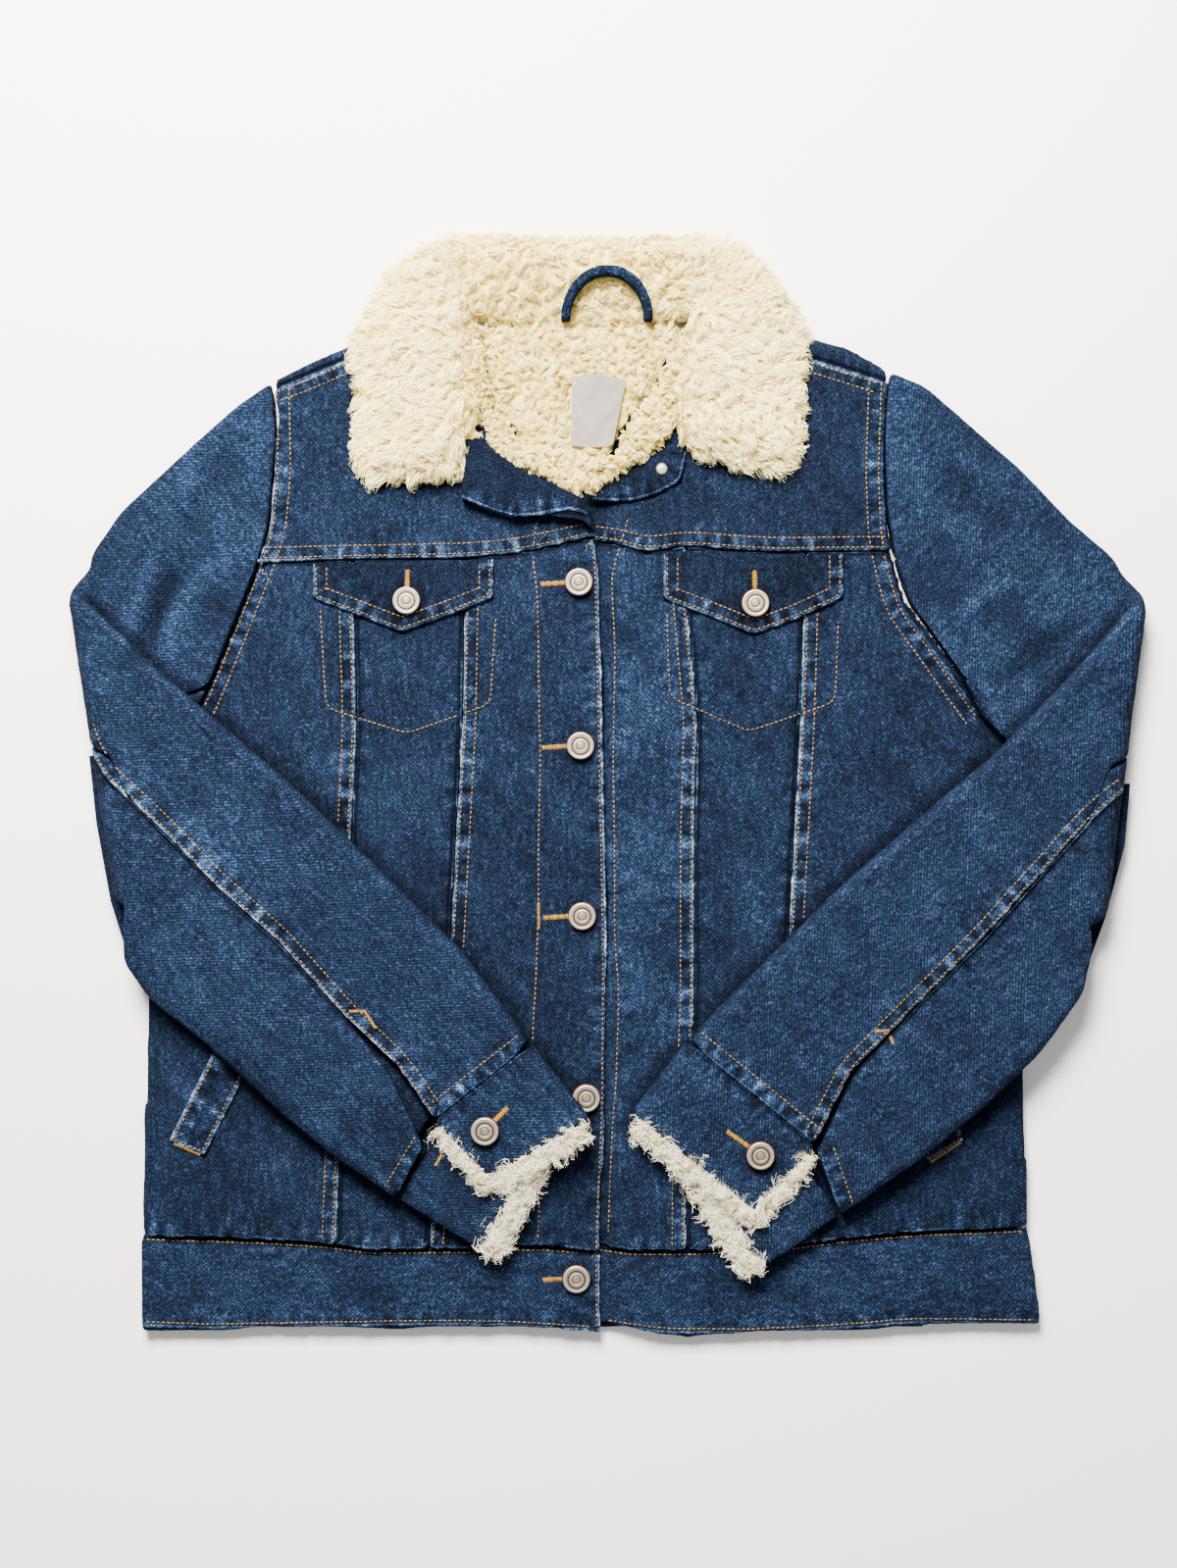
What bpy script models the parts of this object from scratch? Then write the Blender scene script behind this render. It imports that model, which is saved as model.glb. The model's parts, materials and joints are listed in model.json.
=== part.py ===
"""A sherpa lined denim jacket, laid on its back on a flat surface with both sleeves folded over the front.

+X is the wearer's left, +Y runs towards the collar and +Z is up. The jacket rests on z = 0. Its cloth is denim
bonded to sherpa, so a panel is a wall about six and a half millimetres thick. Every table here is in millimetres,
and build() turns it into metres. "_r" and "_l" are the wearer's right and left.
"""

import bisect
import math

import bmesh
import bpy
from mathutils import Matrix, Vector

MM = 0.001
SEAM = 0.15  # each piece stops this far from the middle of a seam

# Heights of the layers of the body, from the surface up.
BACK_TOP = 6.5
FRONT_LOW, FRONT_TOP = 6.8, 13.5
BAND_LOW = 10.3  # underside of the right front's edge, where it laps over the left front
LAPPED_TOP = 10.0  # top of the left front's edge, under that lap
ON_FRONT = 13.8  # underside of what lies on the fronts
WAIST_BACK_TOP, WAIST_LOW = 4.0, 4.3
EDGE_ROLL = 3.5  # rise of the underside at an outer edge
LAP_EDGE = -34.0  # the left front's edge, under the right front
LAP_FROM, LAP_TO = -39, 5  # between these x the right front is raised and the left front lies low
EDGE_THICK = 2.0  # a front's cloth at its side edge
WAIST_THICK, WAIST_EDGE_THICK = 6.4, 5.2
LAP_WAIST_LOW, LAPPED_WAIST_TOP = 7.5, 7.2  # the two waistbands where they lap
HEM_ROLL, HEM_ROLL_BACK = 0.6, 1.2  # rise of the underside at the hem
FLARE_FROM, FLARE, FLARE_SPAN = 200, 8, 54  # the left side widens to the hem past this x, by this much at its edge
ARMPIT_ROW = 37

# Rows of the panels, as heights on a jacket whose seams are straight.
WAIST_Y, YOKE_Y, SHOULDER_Y = -275, 138, 240
PANEL_ROWS = (WAIST_Y, -234, -175, -128, -89, -33, 10, 37, 61, 87, 110, YOKE_Y)
YOKE_ROWS = (YOKE_Y, 155, 175, 192, 210, 225, SHOULDER_Y)

# Seams that run up the jacket: (y, x).
SIDE_R = ((-332, -284), (-275, -285), (-128, -281), (-89, -280), (-29, -272), (33, -257), (60, -244),
          (110, -224), (138, -213), (155, -207), (192, -204), (225, -201), (240, -204))
SIDE_L = ((-332, 262), (-307, 259), (-294, 254), (-275, 254), (-142, 251), (-89, 249), (-29, 243), (21, 232),
          (61, 214), (87, 196), (110, 179), (138, 171), (155, 168), (192, 166), (225, 166),
          (240, 168))
OUTER_R = ((-275, -166), (-177, -162), (-33, -157), (37, -153.5), (138, -156))
INNER_R = ((-275, -110), (-177, -102), (-89, -97), (-33, -94), (37, -90), (138, -88))
EDGE_R = ((-332, -6), (-275, -6), (-175, -2.5), (-89, -1.5), (-33, -2), (61, -4), (110, -6), (138, -8.5))
EDGE_L = ((-332, LAP_EDGE), (138, LAP_EDGE))
INNER_L = ((-275, 46), (-234, 46), (-128, 51), (-33, 51), (37, 53), (110, 46), (138, 46))
OUTER_L = ((-275, 102), (-175, 104), (-89, 108), (37, 115), (138, 118))

# Seams that run across it: (x, y).
YOKE_SEAM_R = ((-213, 135), (-156, 136.5), (-72, 138), (-44, 143), (-8, 151))
YOKE_SEAM_L = ((-34, 151), (-8, 149), (10, 145), (17, 139), (27, 142), (46, 145), (92, 141), (171, 142))
WAIST_SEAM_R = ((-285, -272.5), (-221, -275), (-175, -276), (-152, -281), (-84, -281), (-50, -278.5), (-4, -282))
WAIST_SEAM_L = ((-34, -277), (-8, -279), (8, -282), (50, -282), (112, -278.5), (157, -272.5), (203, -269.5), (254, -268))
HEM_R = ((-284, -332), (-244, -333), (-210, -328), (-130, -331), (-73, -328), (-6, -333))
HEM_L = ((-34, -328), (-2, -327), (43, -336), (89, -332), (157, -332), (203, -327), (262, -328))
YOKE_SEAM_BACK = ((-213, 135), (171, 142))
WAIST_SEAM_BACK = ((-285, -272.5), (254, -268))
HEM_BACK = ((-284, -332), (-130, -331), (43, -334), (262, -328))
SHOULDER_SEAM = ((-204, 240), (-180, 249), (-155, 260.5), (-96, 272), (-92, 277), (59, 277), (63, 272),
                 (119, 259), (145, 251), (168, 244))
SHOULDER_FOLD = ((-205, 246), (-180, 258.5), (-155, 269), (-96, 279), (-92, 280), (59, 280), (63, 279),
                 (119, 273), (145, 266), (169, 252))
NECK_R, NECK_L = -94, 61  # the shoulders' turned strips end here
# Those strips, from the seam to the fold: share of the way, top and underside.
SHOULDER_STRIP = ((0.02, FRONT_TOP, 0), (0.6, FRONT_TOP, 0), (1, FRONT_TOP - 4, EDGE_ROLL))

# Columns of a panel, as shares of its width.
BACK_COLUMNS = (-204, -197, -180, -155, -125, -96, -92, -60, -18, 24, 59, 63, 90, 119, 145, 160, 168)  # x at the top
SIDE_COLUMNS_R = (0, 0.12, 0.4, 0.7, 1)
SIDE_COLUMNS_L = (0, 0.3, 0.6, 0.88, 1)
CENTRE_COLUMNS = (0, 0.25, 0.5, 0.75, 1)
# The fronts' inner columns are straight up and down near the lap: x, or a share where it is under 1.
INNER_COLUMNS_R = (0, 0.33, 0.6, -42, -37, -22, None)
INNER_COLUMNS_L = (None, -20, -2, 8, 22, 0.8, 1)
# Top ends of the yokes' columns, from the armhole to the front edge: x, y. They follow the shoulder, the neck
# and the turned-back V.
YOKE_TOP_R = ((-204, 240), (-197, 241), (-180, 249), (-155, 260.5), (-130, 265.4), (-110, 269.3), (-96, 272),
              (-81, 262), (-77, 244), (-71, 225), (-56, 209.5), (-42, 199.5), (-37, 193.5), (-22, 176.5),
              (-13, 163))
YOKE_TOP_L = ((LAP_EDGE, 160), (-20, 170), (-2, 192), (8, 214), (18, 229.5), (26, 238), (34, 254), (42, 266),
              (63, 272), (80, 268), (100, 263), (119, 259), (145, 251), (160, 246.5), (168, 244))

# Turned-back edge of the opening at the neck, outer and inner line of each fur roll: x, y, x, y.
ROLL_R = ((-85.5, 279, -79, 276), (-84.5, 262, -78, 258), (-77.5, 229, -71, 225), (-69, 199, -56, 209),
          (-57, 192, -46, 203), (-45, 190, -38, 194.5), (-29, 180.5, -26, 183), (-20.5, 173.5, -19.5, 175))
ROLL_L = ((50, 279, 44, 276), (43.5, 255, 36, 257), (40, 228, 27, 238), (38, 214, 18, 228.5),
          (20, 197, 8.5, 213), (4, 188.5, -2, 190.5), (-13, 176.5, -15, 178))
LAPEL_R = ((-83, 208, -89, 173), (-69, 197.5, -73, 165.5), (-57, 190.5, -59, 161.5), (-45, 188.5, -43, 162.5),
           (-29, 179, -25, 166.5), (-20.5, 172.3, -15, 163.5))
LAPEL_L = ((42, 208, 46, 200), (36, 206, 43, 184), (20, 195.5, 27, 175.5), (4, 187, 11, 171.4),
           (-11, 175.5, -12, 172))
LINING_LEFT = ((-78, 279), (-77, 258), (-69.5, 225.5), (-55, 211), (-44, 203.3), (-36.5, 195.5), (-25, 182.5),
               (-19, 178.5))
LINING_RIGHT = ((43, 279), (34.5, 257.5), (24.5, 238.5), (16, 229.5), (6, 212.5), (0.5, 201), (-6, 190),
                (-17, 178.5))

# The collar's cross sections, from the right leaf's end round the back to the left's:
# outer x, y, inner x, y, underside, and how much of the leaf's profile it has (the rest is the back's).
COLLAR = (
    (-146, 183, -90, 187, 13.8, 1),
    (-154, 195, -85, 204, 13.8, 1),
    (-154.5, 225, -78, 229, 13.8, 1),
    (-155, 257, -85, 262, 13.8, 1),
    (-155.5, 270.5, -86.5, 281, 13.8, 1),
    (-151.5, 275, -86.5, 284, 0, 0.9),
    (-134, 308, -86, 286, 0, 0.7),
    (-114, 324, -84, 286, 0, 0.35),
    (-92, 332, -79, 284, 0, 0.1),
    (-60, 332, -60, 281, 0, 0),
    (-18, 330.5, -18, 280.6, 0, 0),
    (24, 331, 24, 281, 0, 0),
    (56.5, 331.5, 44, 284, 0, 0.1),
    (78, 326, 49, 286, 0, 0.35),
    (97, 308, 51, 286, 0, 0.7),
    (113.5, 282, 51.5, 284, 0, 0.9),
    (116, 276, 51, 281, 13.8, 1),
    (116.5, 257, 44.5, 257, 13.8, 1),
    (116.5, 225, 40.5, 228, 13.8, 1),
    (115, 204, 41.5, 211, 13.8, 1),
    (104, 187, 48.5, 202, 13.8, 1),
)
ACROSS_COLLAR = (0, 0.07, 0.25, 0.5, 0.75, 0.9, 1)
LEAF_PROFILE = (16.5, 21, 25, 27.5, 30, 27, 19)
BACK_PROFILE = (14, 22, 26, 23, 18, 14.5, 12.8)
COLLAR_END_TOP, COLLAR_END_SHARE = 15, 0.45  # a leaf's end falls to this height plus this share of the rest
LAPEL_TOP = 17.3
# Heights across the lapels, the fur rolls beside the V and the back's lining, from edge to edge.
LAPEL_HEIGHTS = (16, LAPEL_TOP, LAPEL_TOP, 15.8)
ROLL_HEIGHTS = (18, 22, 22, 17)
LINING_TOP = 12.5
LINING_HEIGHTS = (11.5, LINING_TOP, LINING_TOP, LINING_TOP, LINING_TOP, 11.5)

LOOP_CENTRE, LOOP_RADIUS, LOOP_REACH = (-2, 279), 25, 27  # half width and reach of the hanger loop's arc
LOOP_THICK, LOOP_TALL = 4, 7
LOOP_STEPS, LOOP_RISE, LOOP_SEAT = 16, 2, 0.5  # steps round its arc, its middle's shift, and its gap to the collar
LABEL = ((-23, 247.5, -24, 205.5), (-9, 249.5, -11, 204.5), (10, 245.5, 1.5, 205.5))
LABEL_THICK = 0.6

BUTTONS_FRONT = ((-19, 123), (-18, 24), (-17, -79), (-14.5, -189))
BUTTON_WAIST = (-20.5, -299)
BUTTON_FLAP_R, BUTTON_FLAP_L = (-123, 111.5), (87.5, 110)
BUTTON_CUFF_R, BUTTON_CUFF_L = (-75, -206), (89.5, -221)
BUTTON_PROFILE = ((0, 0), (6, 0), (8.2, 0.6), (8.5, 1.6), (8.2, 2.7), (7.2, 3.1), (3.9, 2.7), (3.3, 3.4), (0, 3.6))
CUFF_BUTTON_LIFT = 2.2  # the right cuff is lifted at its fold, so its button stands that much higher
TACK_PLACE = (31, 191)
TACK_PROFILE = ((0, 0), (3, 0), (3.4, 0.5), (2.6, 1.1), (0, 1.3))
BUTTON_SIDES = 24
CLEAR = 0.3

FLAP_THICK, WELT_THICK = 2.5, 1.8
FLAP_R = ((-180, 113), (-152, 102.5), (-126, 92.5), (-98, 102.5), (-70.5, 113.5))
FLAP_L = ((32, 112.5), (60, 102), (87, 91), (114, 101), (141, 113.5))
WELT_R = ((-267, -214.5), (-245.5, -224.5), (-187.5, -108.5), (-209, -98.5))
WELT_L = ((192, -227.5), (214.5, -214.5), (156.5, -98.5), (134, -111.5))

# The sleeves. A flattened tube, folded over at the elbow about an axis at this height.
WALL, SLOT = 6.3, 0.6
TUBE = 2 * WALL + SLOT
FOLD_Z = 14.6
FRONT_SEAM = 0.88  # share of the way across the tube
ARMHOLE_GAP = 0.9
# Upper arm, from the armhole: top edge x, y, armpit edge x, y, and the bow towards the body.
UPPER_R = ((-229.5, 229, -272, 30, 20), (-265, 197, -279, -12, 8), (-297.5, 167, -284, -37, 2),
           (-315.5, 141, -284, -54, 0))
UPPER_L = ((192, 243, 243, 24, -20), (216, 222, 258, -15, -14), (248, 194, 273, -38, -6), (280, 161, 279, -52, -1),
           (306, 139, 285, -63, 0))
# The elbow's fold, first and last ring, and which way it points.
ELBOW_R = ((-316, 134, -284.5, -60), (-313, 110, -285.5, -76))
ELBOW_L = ((310.5, 131, 286, -70), (310.5, 106, 285.5, -86))
ELBOW_OUT_R, ELBOW_OUT_L = (-0.988, -0.155), (0.991, -0.13)
TURNS = (30, 60, 90, 120, 150, 180)
ELBOW_SEAM = 0.5
# Forearm: upper edge x, y, back seam's upper side x, y, its lower side x, y, lower edge x, y.
FOREARM_R = (
    (-278, 75.7, -288.5, -7, -288.5, -7, -291.5, -92),
    (-238, 41, -264, -31, -264, -31, -292, -107),
    (-196, 5, -236, -60, -236, -60, -278, -127),
    (-158, -31, -199, -93, -199, -93, -241, -157),
    (-120.6, -68, -158, -139, -158, -139, -200, -196),
    (-89, -99, -128, -167, -132, -173, -165, -224),
    (-47.2, -154.4, -105.5, -200, -112, -215.6, -129.3, -247.8),
)
FOREARM_L = (
    (277, 67.5, 286, -22, 286, -22, 288, -104),
    (230, 19, 257, -54, 257, -54, 283, -126),
    (191, -14, 225, -90, 225, -90, 258, -161),
    (138, -60, 182, -133, 182, -133, 223, -195),
    (91, -107, 144, -171, 145, -173, 185, -226),
    (45.8, -152.2, 122.3, -214.6, 124, -219, 137.8, -258),
)

# The cuffs, rolled up in three layers: the points on the sleeve's seam and those at the wrist's edge.
CUFF_WALL, CUFF_SLOT = 3.5, 0.6
CUFF_HOLLOW = 17.0  # how far the sleeve's lower layer stops short of the cuff, midway
HOLLOW_WAY = (0.75, 0.66)  # and which way: back up the forearm
CUFF_R = {
    "fold": ((-46.9, -154.8), (-12.3, -198.5)),
    "flap": ((-105.3, -200.4), (-73, -234.5)),
    "under": ((-129, -248.3), (-77.8, -280.3)),
    "tail": ((-93, -196), (-43, -212.5)),
    "lift": (1.5, 4),
}
CUFF_L = {
    "fold": ((45.6, -152.7), (13.1, -195.1)),
    "flap": ((122.1, -215.1), (87.4, -254.7)),
    "under": ((137.6, -258.5), (91.6, -290.7)),
    "tail": ((96, -199), (45, -217)),
    "lift": (0, 0),
}
CUFF_RINGS = (0, 0.35, 0.7, 1)
FRINGE_SIDE, FRINGE_WRIST, FRINGE_THICK = 6.5, 11, 4


def value_at(table, key):
    """A table of (key, value) pairs, read between its rows."""
    keys = [row[0] for row in table]
    place = min(max(bisect.bisect_right(keys, key), 1), len(table) - 1)
    (low, before), (high, after) = table[place - 1], table[place]
    share = min(max((key - low) / (high - low), 0), 1)
    return before + (after - before) * share


def mix(first, second, share):
    return tuple(a + (b - a) * share for a, b in zip(first, second))


def material(name, colour, roughness, metallic=0.0):
    made = bpy.data.materials.new(name)
    made.use_nodes = True
    shader = made.node_tree.nodes["Principled BSDF"]
    shader.inputs["Base Color"].default_value = (*colour, 1)
    shader.inputs["Roughness"].default_value = roughness
    shader.inputs["Metallic"].default_value = metallic
    return made


def build(name, bm, finish, smooth_under=None):
    """Turns a mesh in millimetres into a named object in metres."""
    bmesh.ops.scale(bm, vec=(MM, MM, MM), verts=bm.verts)
    bmesh.ops.recalc_face_normals(bm, faces=bm.faces)
    mesh = bpy.data.meshes.new(name)
    bm.to_mesh(mesh)
    bm.free()
    mesh.materials.append(finish)
    if smooth_under:
        mesh.shade_smooth()
        mesh.set_sharp_from_angle(angle=math.radians(smooth_under))
    piece = bpy.data.objects.new(name, mesh)
    bpy.context.scene.collection.objects.link(piece)
    return piece


def wall(name, upper, lower, finish):
    """A closed wall of cloth between two sheets of points, which are rows of equal length."""
    rows, columns = len(upper), len(upper[0])
    bm = bmesh.new()
    place = bm.verts.layers.int.new("place")
    bmesh.ops.create_grid(bm, x_segments=columns - 1, y_segments=rows - 1, size=1)
    for number, vertex in enumerate(bm.verts):
        vertex[place] = number
    extruded = bmesh.ops.extrude_face_region(bm, geom=bm.faces[:])
    raised = {item for item in extruded["geom"] if isinstance(item, bmesh.types.BMVert)}
    for vertex in bm.verts:
        row, column = divmod(vertex[place], columns)
        vertex.co = Vector((upper if vertex in raised else lower)[row][column])
    return build(name, bm, finish, smooth_under=50)


def turned(name, profile, place, height, finish):
    """A round piece, spun from its profile of (radius, height)."""
    bm = bmesh.new()
    points = [bm.verts.new((radius, 0, z)) for radius, z in profile]
    edges = [bm.edges.new(pair) for pair in zip(points, points[1:])]
    bmesh.ops.spin(bm, geom=points + edges, cent=(0, 0, 0), axis=(0, 0, 1), angle=math.tau,
                   steps=BUTTON_SIDES, use_merge=True)
    bmesh.ops.remove_doubles(bm, verts=bm.verts, dist=0.001)
    bmesh.ops.translate(bm, vec=(*place, height), verts=bm.verts)
    return build(name, bm, finish, smooth_under=35)


# Body -------------------------------------------------------------------------------------------------------


def panel_points(left, right, columns, below, above):
    """Rows of (x, y) on a panel between two upright seams, a seam below it and one above."""
    rows = []
    for row in PANEL_ROWS:
        low_x, high_x = value_at(left, row) + SEAM, value_at(right, row) - SEAM
        share = (row - WAIST_Y) / (YOKE_Y - WAIST_Y)
        points = []
        for column in columns:
            x = column_x(column, low_x, high_x, columns)
            low_y, high_y = value_at(below, x) + SEAM, value_at(above, x) - SEAM
            points.append((x, low_y + (high_y - low_y) * share))
        rows.append(points)
    return rows


def column_x(column, low_x, high_x, columns):
    """A column is a share of the width, an x of its own, or None for the panel's own edge."""
    if column is None:
        return low_x if columns[0] is None else high_x
    if 0 <= column <= 1:
        return low_x + (high_x - low_x) * column
    return column


def front_low(x, side):
    return BAND_LOW if side == "r" and x > LAP_FROM else FRONT_LOW


def front_top(x, side, edge=None):
    """Height of the outside of a front, which drops where it is lapped and at the side."""
    if side == "l" and x < LAP_TO:
        return LAPPED_TOP
    return FRONT_TOP if edge is None or abs(x - edge) > EDGE_THICK else FRONT_LOW + EDGE_THICK


def add_front(name, side, points, finish):
    """A front panel from its rows of (x, y)."""
    outer_column = {"side_front_r": 0, "side_front_l": -1}.get(name)
    upper, lower = [], []
    for row in points:
        edge = None if outer_column is None else row[outer_column][0]
        upper.append([(x, y, front_top(x, side, edge)) for x, y in row])
        lower.append([(x, y, front_low(x, side)) for x, y in row])
    wall(name, upper, lower, finish)


def yoke_points(side, bottoms, tops, edge):
    """Rows of (x, y) from the yoke seam up to the shoulder, the neck and the turned-back edge."""
    rows = []
    for row in YOKE_ROWS:
        share = (row - YOKE_Y) / (SHOULDER_Y - YOKE_Y)
        points = [mix((x, y + 2 * SEAM), (tx, ty - SEAM), share) for (x, y), (tx, ty) in zip(bottoms, tops)]
        at = 0 if side == "r" else -1
        inward = SEAM if side == "r" else -SEAM
        points[at] = (value_at(edge, row) + inward, points[at][1])
        rows.append(points)
    return rows


def add_fronts(denim):
    panels = {
        "side_front_r": ("r", SIDE_R, OUTER_R, SIDE_COLUMNS_R, WAIST_SEAM_R, YOKE_SEAM_R),
        "centre_front_r": ("r", OUTER_R, INNER_R, CENTRE_COLUMNS, WAIST_SEAM_R, YOKE_SEAM_R),
        "inner_front_r": ("r", INNER_R, EDGE_R, INNER_COLUMNS_R, WAIST_SEAM_R, YOKE_SEAM_R),
        "inner_front_l": ("l", EDGE_L, INNER_L, INNER_COLUMNS_L, WAIST_SEAM_L, YOKE_SEAM_L),
        "centre_front_l": ("l", INNER_L, OUTER_L, CENTRE_COLUMNS, WAIST_SEAM_L, YOKE_SEAM_L),
        "side_front_l": ("l", OUTER_L, SIDE_L, SIDE_COLUMNS_L, WAIST_SEAM_L, YOKE_SEAM_L),
    }
    seam_rows = {"r": [], "l": []}
    waist_rows = {"r": [], "l": []}
    for name, (side, left, right, columns, below, above) in panels.items():
        points = panel_points(left, right, columns, below, above)
        add_front(name, side, points, denim)
        # Neighbours share a station at their seam, so the pieces above and below take it once.
        for rows, row in ((seam_rows, points[-1]), (waist_rows, points[0])):
            rows[side] += row if not rows[side] else row[1:]
    for side, tops, edge in (("r", YOKE_TOP_R, SIDE_R), ("l", YOKE_TOP_L, SIDE_L)):
        add_front(f"yoke_front_{side}", side, yoke_points(side, seam_rows[side], tops, edge), denim)
    add_waistbands(waist_rows, denim)


def add_waistbands(waist_rows, denim):
    for side, hem in (("r", HEM_R), ("l", HEM_L)):
        upper, lower = [], []
        for share in (0, 0.15, 0.5, 0.85, 1):
            tops, lows = [], []
            for x, y in waist_rows[side]:
                low_x = x
                if side == "l" and x > FLARE_FROM:
                    low_x = x + FLARE * (1 - share) * (x - FLARE_FROM) / FLARE_SPAN
                low_y = value_at(hem, low_x)
                place = (low_x, low_y + (y - 2 * SEAM - low_y) * share)
                thick = WAIST_EDGE_THICK if share in (0, 1) else WAIST_THICK
                lapped = side == "l" and x < LAP_TO
                lapping = side == "r" and x > LAP_FROM
                low = LAP_WAIST_LOW if lapping else WAIST_LOW
                tops.append((*place, LAPPED_WAIST_TOP if lapped else WAIST_LOW + thick))
                lows.append((*place, low + (HEM_ROLL if share == 0 and not lapping and not lapped else 0)))
            upper.append(tops)
            lower.append(lows)
        wall(f"waistband_{side}", upper, lower, denim)


def add_back(denim):
    """The back, with the strips that come over the shoulders to the front."""
    shares = [(x - BACK_COLUMNS[0]) / (BACK_COLUMNS[-1] - BACK_COLUMNS[0]) for x in BACK_COLUMNS]
    rows = []
    for row in PANEL_ROWS + YOKE_ROWS[1:]:
        low_x, high_x = value_at(SIDE_R, row) + SEAM, value_at(SIDE_L, row) - SEAM
        points = []
        for share in shares:
            x = low_x + (high_x - low_x) * share
            if row <= YOKE_Y:
                low_y, high_y = value_at(WAIST_SEAM_BACK, x) + SEAM, value_at(YOKE_SEAM_BACK, x)
                up = (row - WAIST_Y) / (YOKE_Y - WAIST_Y)
            else:
                low_y, high_y = value_at(YOKE_SEAM_BACK, x), value_at(SHOULDER_SEAM, x)
                up = (row - YOKE_Y) / (SHOULDER_Y - YOKE_Y)
            points.append((x, low_y + (high_y - low_y) * up))
        rows.append(points)
    upper = [[(x, y, BACK_TOP) for x, y in row] for row in rows]
    lower = [[(x, y, EDGE_ROLL if number in (0, len(row) - 1) else 0) for number, (x, y) in enumerate(row)]
             for row in rows]
    last = rows[-1]
    for share, strip_top, low in SHOULDER_STRIP:
        tops, lows = [], []
        for x, y in last:
            turned_over = x < NECK_R or x > NECK_L
            fold_y = value_at(SHOULDER_FOLD, x)
            place = (x, y + (fold_y - y) * share)
            tops.append((*place, strip_top if turned_over else BACK_TOP))
            lows.append((*place, low if turned_over else 0))
        upper.append(tops)
        lower.append(lows)
    wall("back_panel", upper, lower, denim)
    stations = [value_at(SIDE_R, WAIST_Y) + (value_at(SIDE_L, WAIST_Y) - value_at(SIDE_R, WAIST_Y)) * share
                for share in shares]
    upper, lower = [], []
    for share in (0, 0.2, 1):
        row = []
        for x in stations:
            wide = x + (FLARE * (1 - share) * (x - FLARE_FROM) / FLARE_SPAN if x > FLARE_FROM else 0)
            low_y = value_at(HEM_BACK, wide)
            row.append((wide, low_y + (value_at(WAIST_SEAM_BACK, x) - SEAM - low_y) * share))
        upper.append([(x, y, WAIST_BACK_TOP) for x, y in row])
        lower.append([(x, y, HEM_ROLL_BACK if share == 0 else 0) for x, y in row])
    wall("waistband_back", upper, lower, denim)


# Collar, lapels and lining ----------------------------------------------------------------------------------


def collar_height(station, number):
    leaf = station[5]
    return LEAF_PROFILE[number] * leaf + BACK_PROFILE[number] * (1 - leaf)


def add_collar(sherpa):
    upper, lower = [], []
    for order, station in enumerate(COLLAR):
        outer, inner, low = station[0:2], station[2:4], station[4]
        ending = order in (0, len(COLLAR) - 1)
        tops, lows = [], []
        for number, share in enumerate(ACROSS_COLLAR):
            place = mix(outer, inner, share)
            height = collar_height(station, number)
            if ending:
                height = COLLAR_END_TOP + (height - COLLAR_END_TOP) * COLLAR_END_SHARE
            tops.append((*place, height))
            lows.append((*place, low + (EDGE_ROLL if number == 0 and low == 0 else 0)))
        upper.append(tops)
        lower.append(lows)
    wall("collar", upper, lower, sherpa)


def add_strip(name, stations, low, heights, finish):
    """A strip across stations of (x, y, x, y), with its outside at these heights across it."""
    upper, lower = [], []
    for station in stations:
        places = [mix(station[0:2], station[2:4], number / (len(heights) - 1)) for number in range(len(heights))]
        upper.append([(*place, height) for place, height in zip(places, heights)])
        lower.append([(*place, low) for place in places])
    wall(name, upper, lower, finish)


def add_neck(denim, sherpa, label_cloth):
    add_collar(sherpa)
    add_strip("lapel_r", LAPEL_R, ON_FRONT, LAPEL_HEIGHTS, denim)
    add_strip("lapel_l", LAPEL_L, ON_FRONT, LAPEL_HEIGHTS, denim)
    add_strip("lining_front_r", ROLL_R, ON_FRONT, ROLL_HEIGHTS, sherpa)
    add_strip("lining_front_l", ROLL_L, ON_FRONT, ROLL_HEIGHTS, sherpa)
    stations = [(*left, *right) for left, right in zip(LINING_LEFT, LINING_RIGHT)]
    add_strip("lining_back", stations, FRONT_LOW, LINING_HEIGHTS, sherpa)
    label_low = LINING_TOP + CLEAR
    add_strip("label", LABEL, label_low, (label_low + LABEL_THICK,) * 3, label_cloth)
    add_hanger_loop(denim)


def add_hanger_loop(denim):
    """A folded strip on its edge, arched over the inside of the collar's back."""
    back = [(1 - share) for share in ACROSS_COLLAR]
    slope = sorted(zip(back, BACK_PROFILE))
    neck, top = COLLAR[10][3], COLLAR[10][1]
    upper, lower = [], []
    for step in range(LOOP_STEPS + 1):
        angle = math.pi * step / LOOP_STEPS
        tops, lows = [], []
        for side in (-0.5, 0.5):
            across = LOOP_RADIUS + side * LOOP_THICK
            reach = LOOP_REACH + side * LOOP_THICK
            place = (LOOP_CENTRE[0] - across * math.cos(angle), LOOP_CENTRE[1] + LOOP_RISE + reach * math.sin(angle))
            seat = value_at(slope, (place[1] - neck) / (top - neck)) + LOOP_SEAT
            tops.append((*place, seat + LOOP_TALL))
            lows.append((*place, seat))
        upper.append(tops)
        lower.append(lows)
    wall("hanger_loop", upper, lower, denim)


# Sleeves and cuffs ------------------------------------------------------------------------------------------


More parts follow.
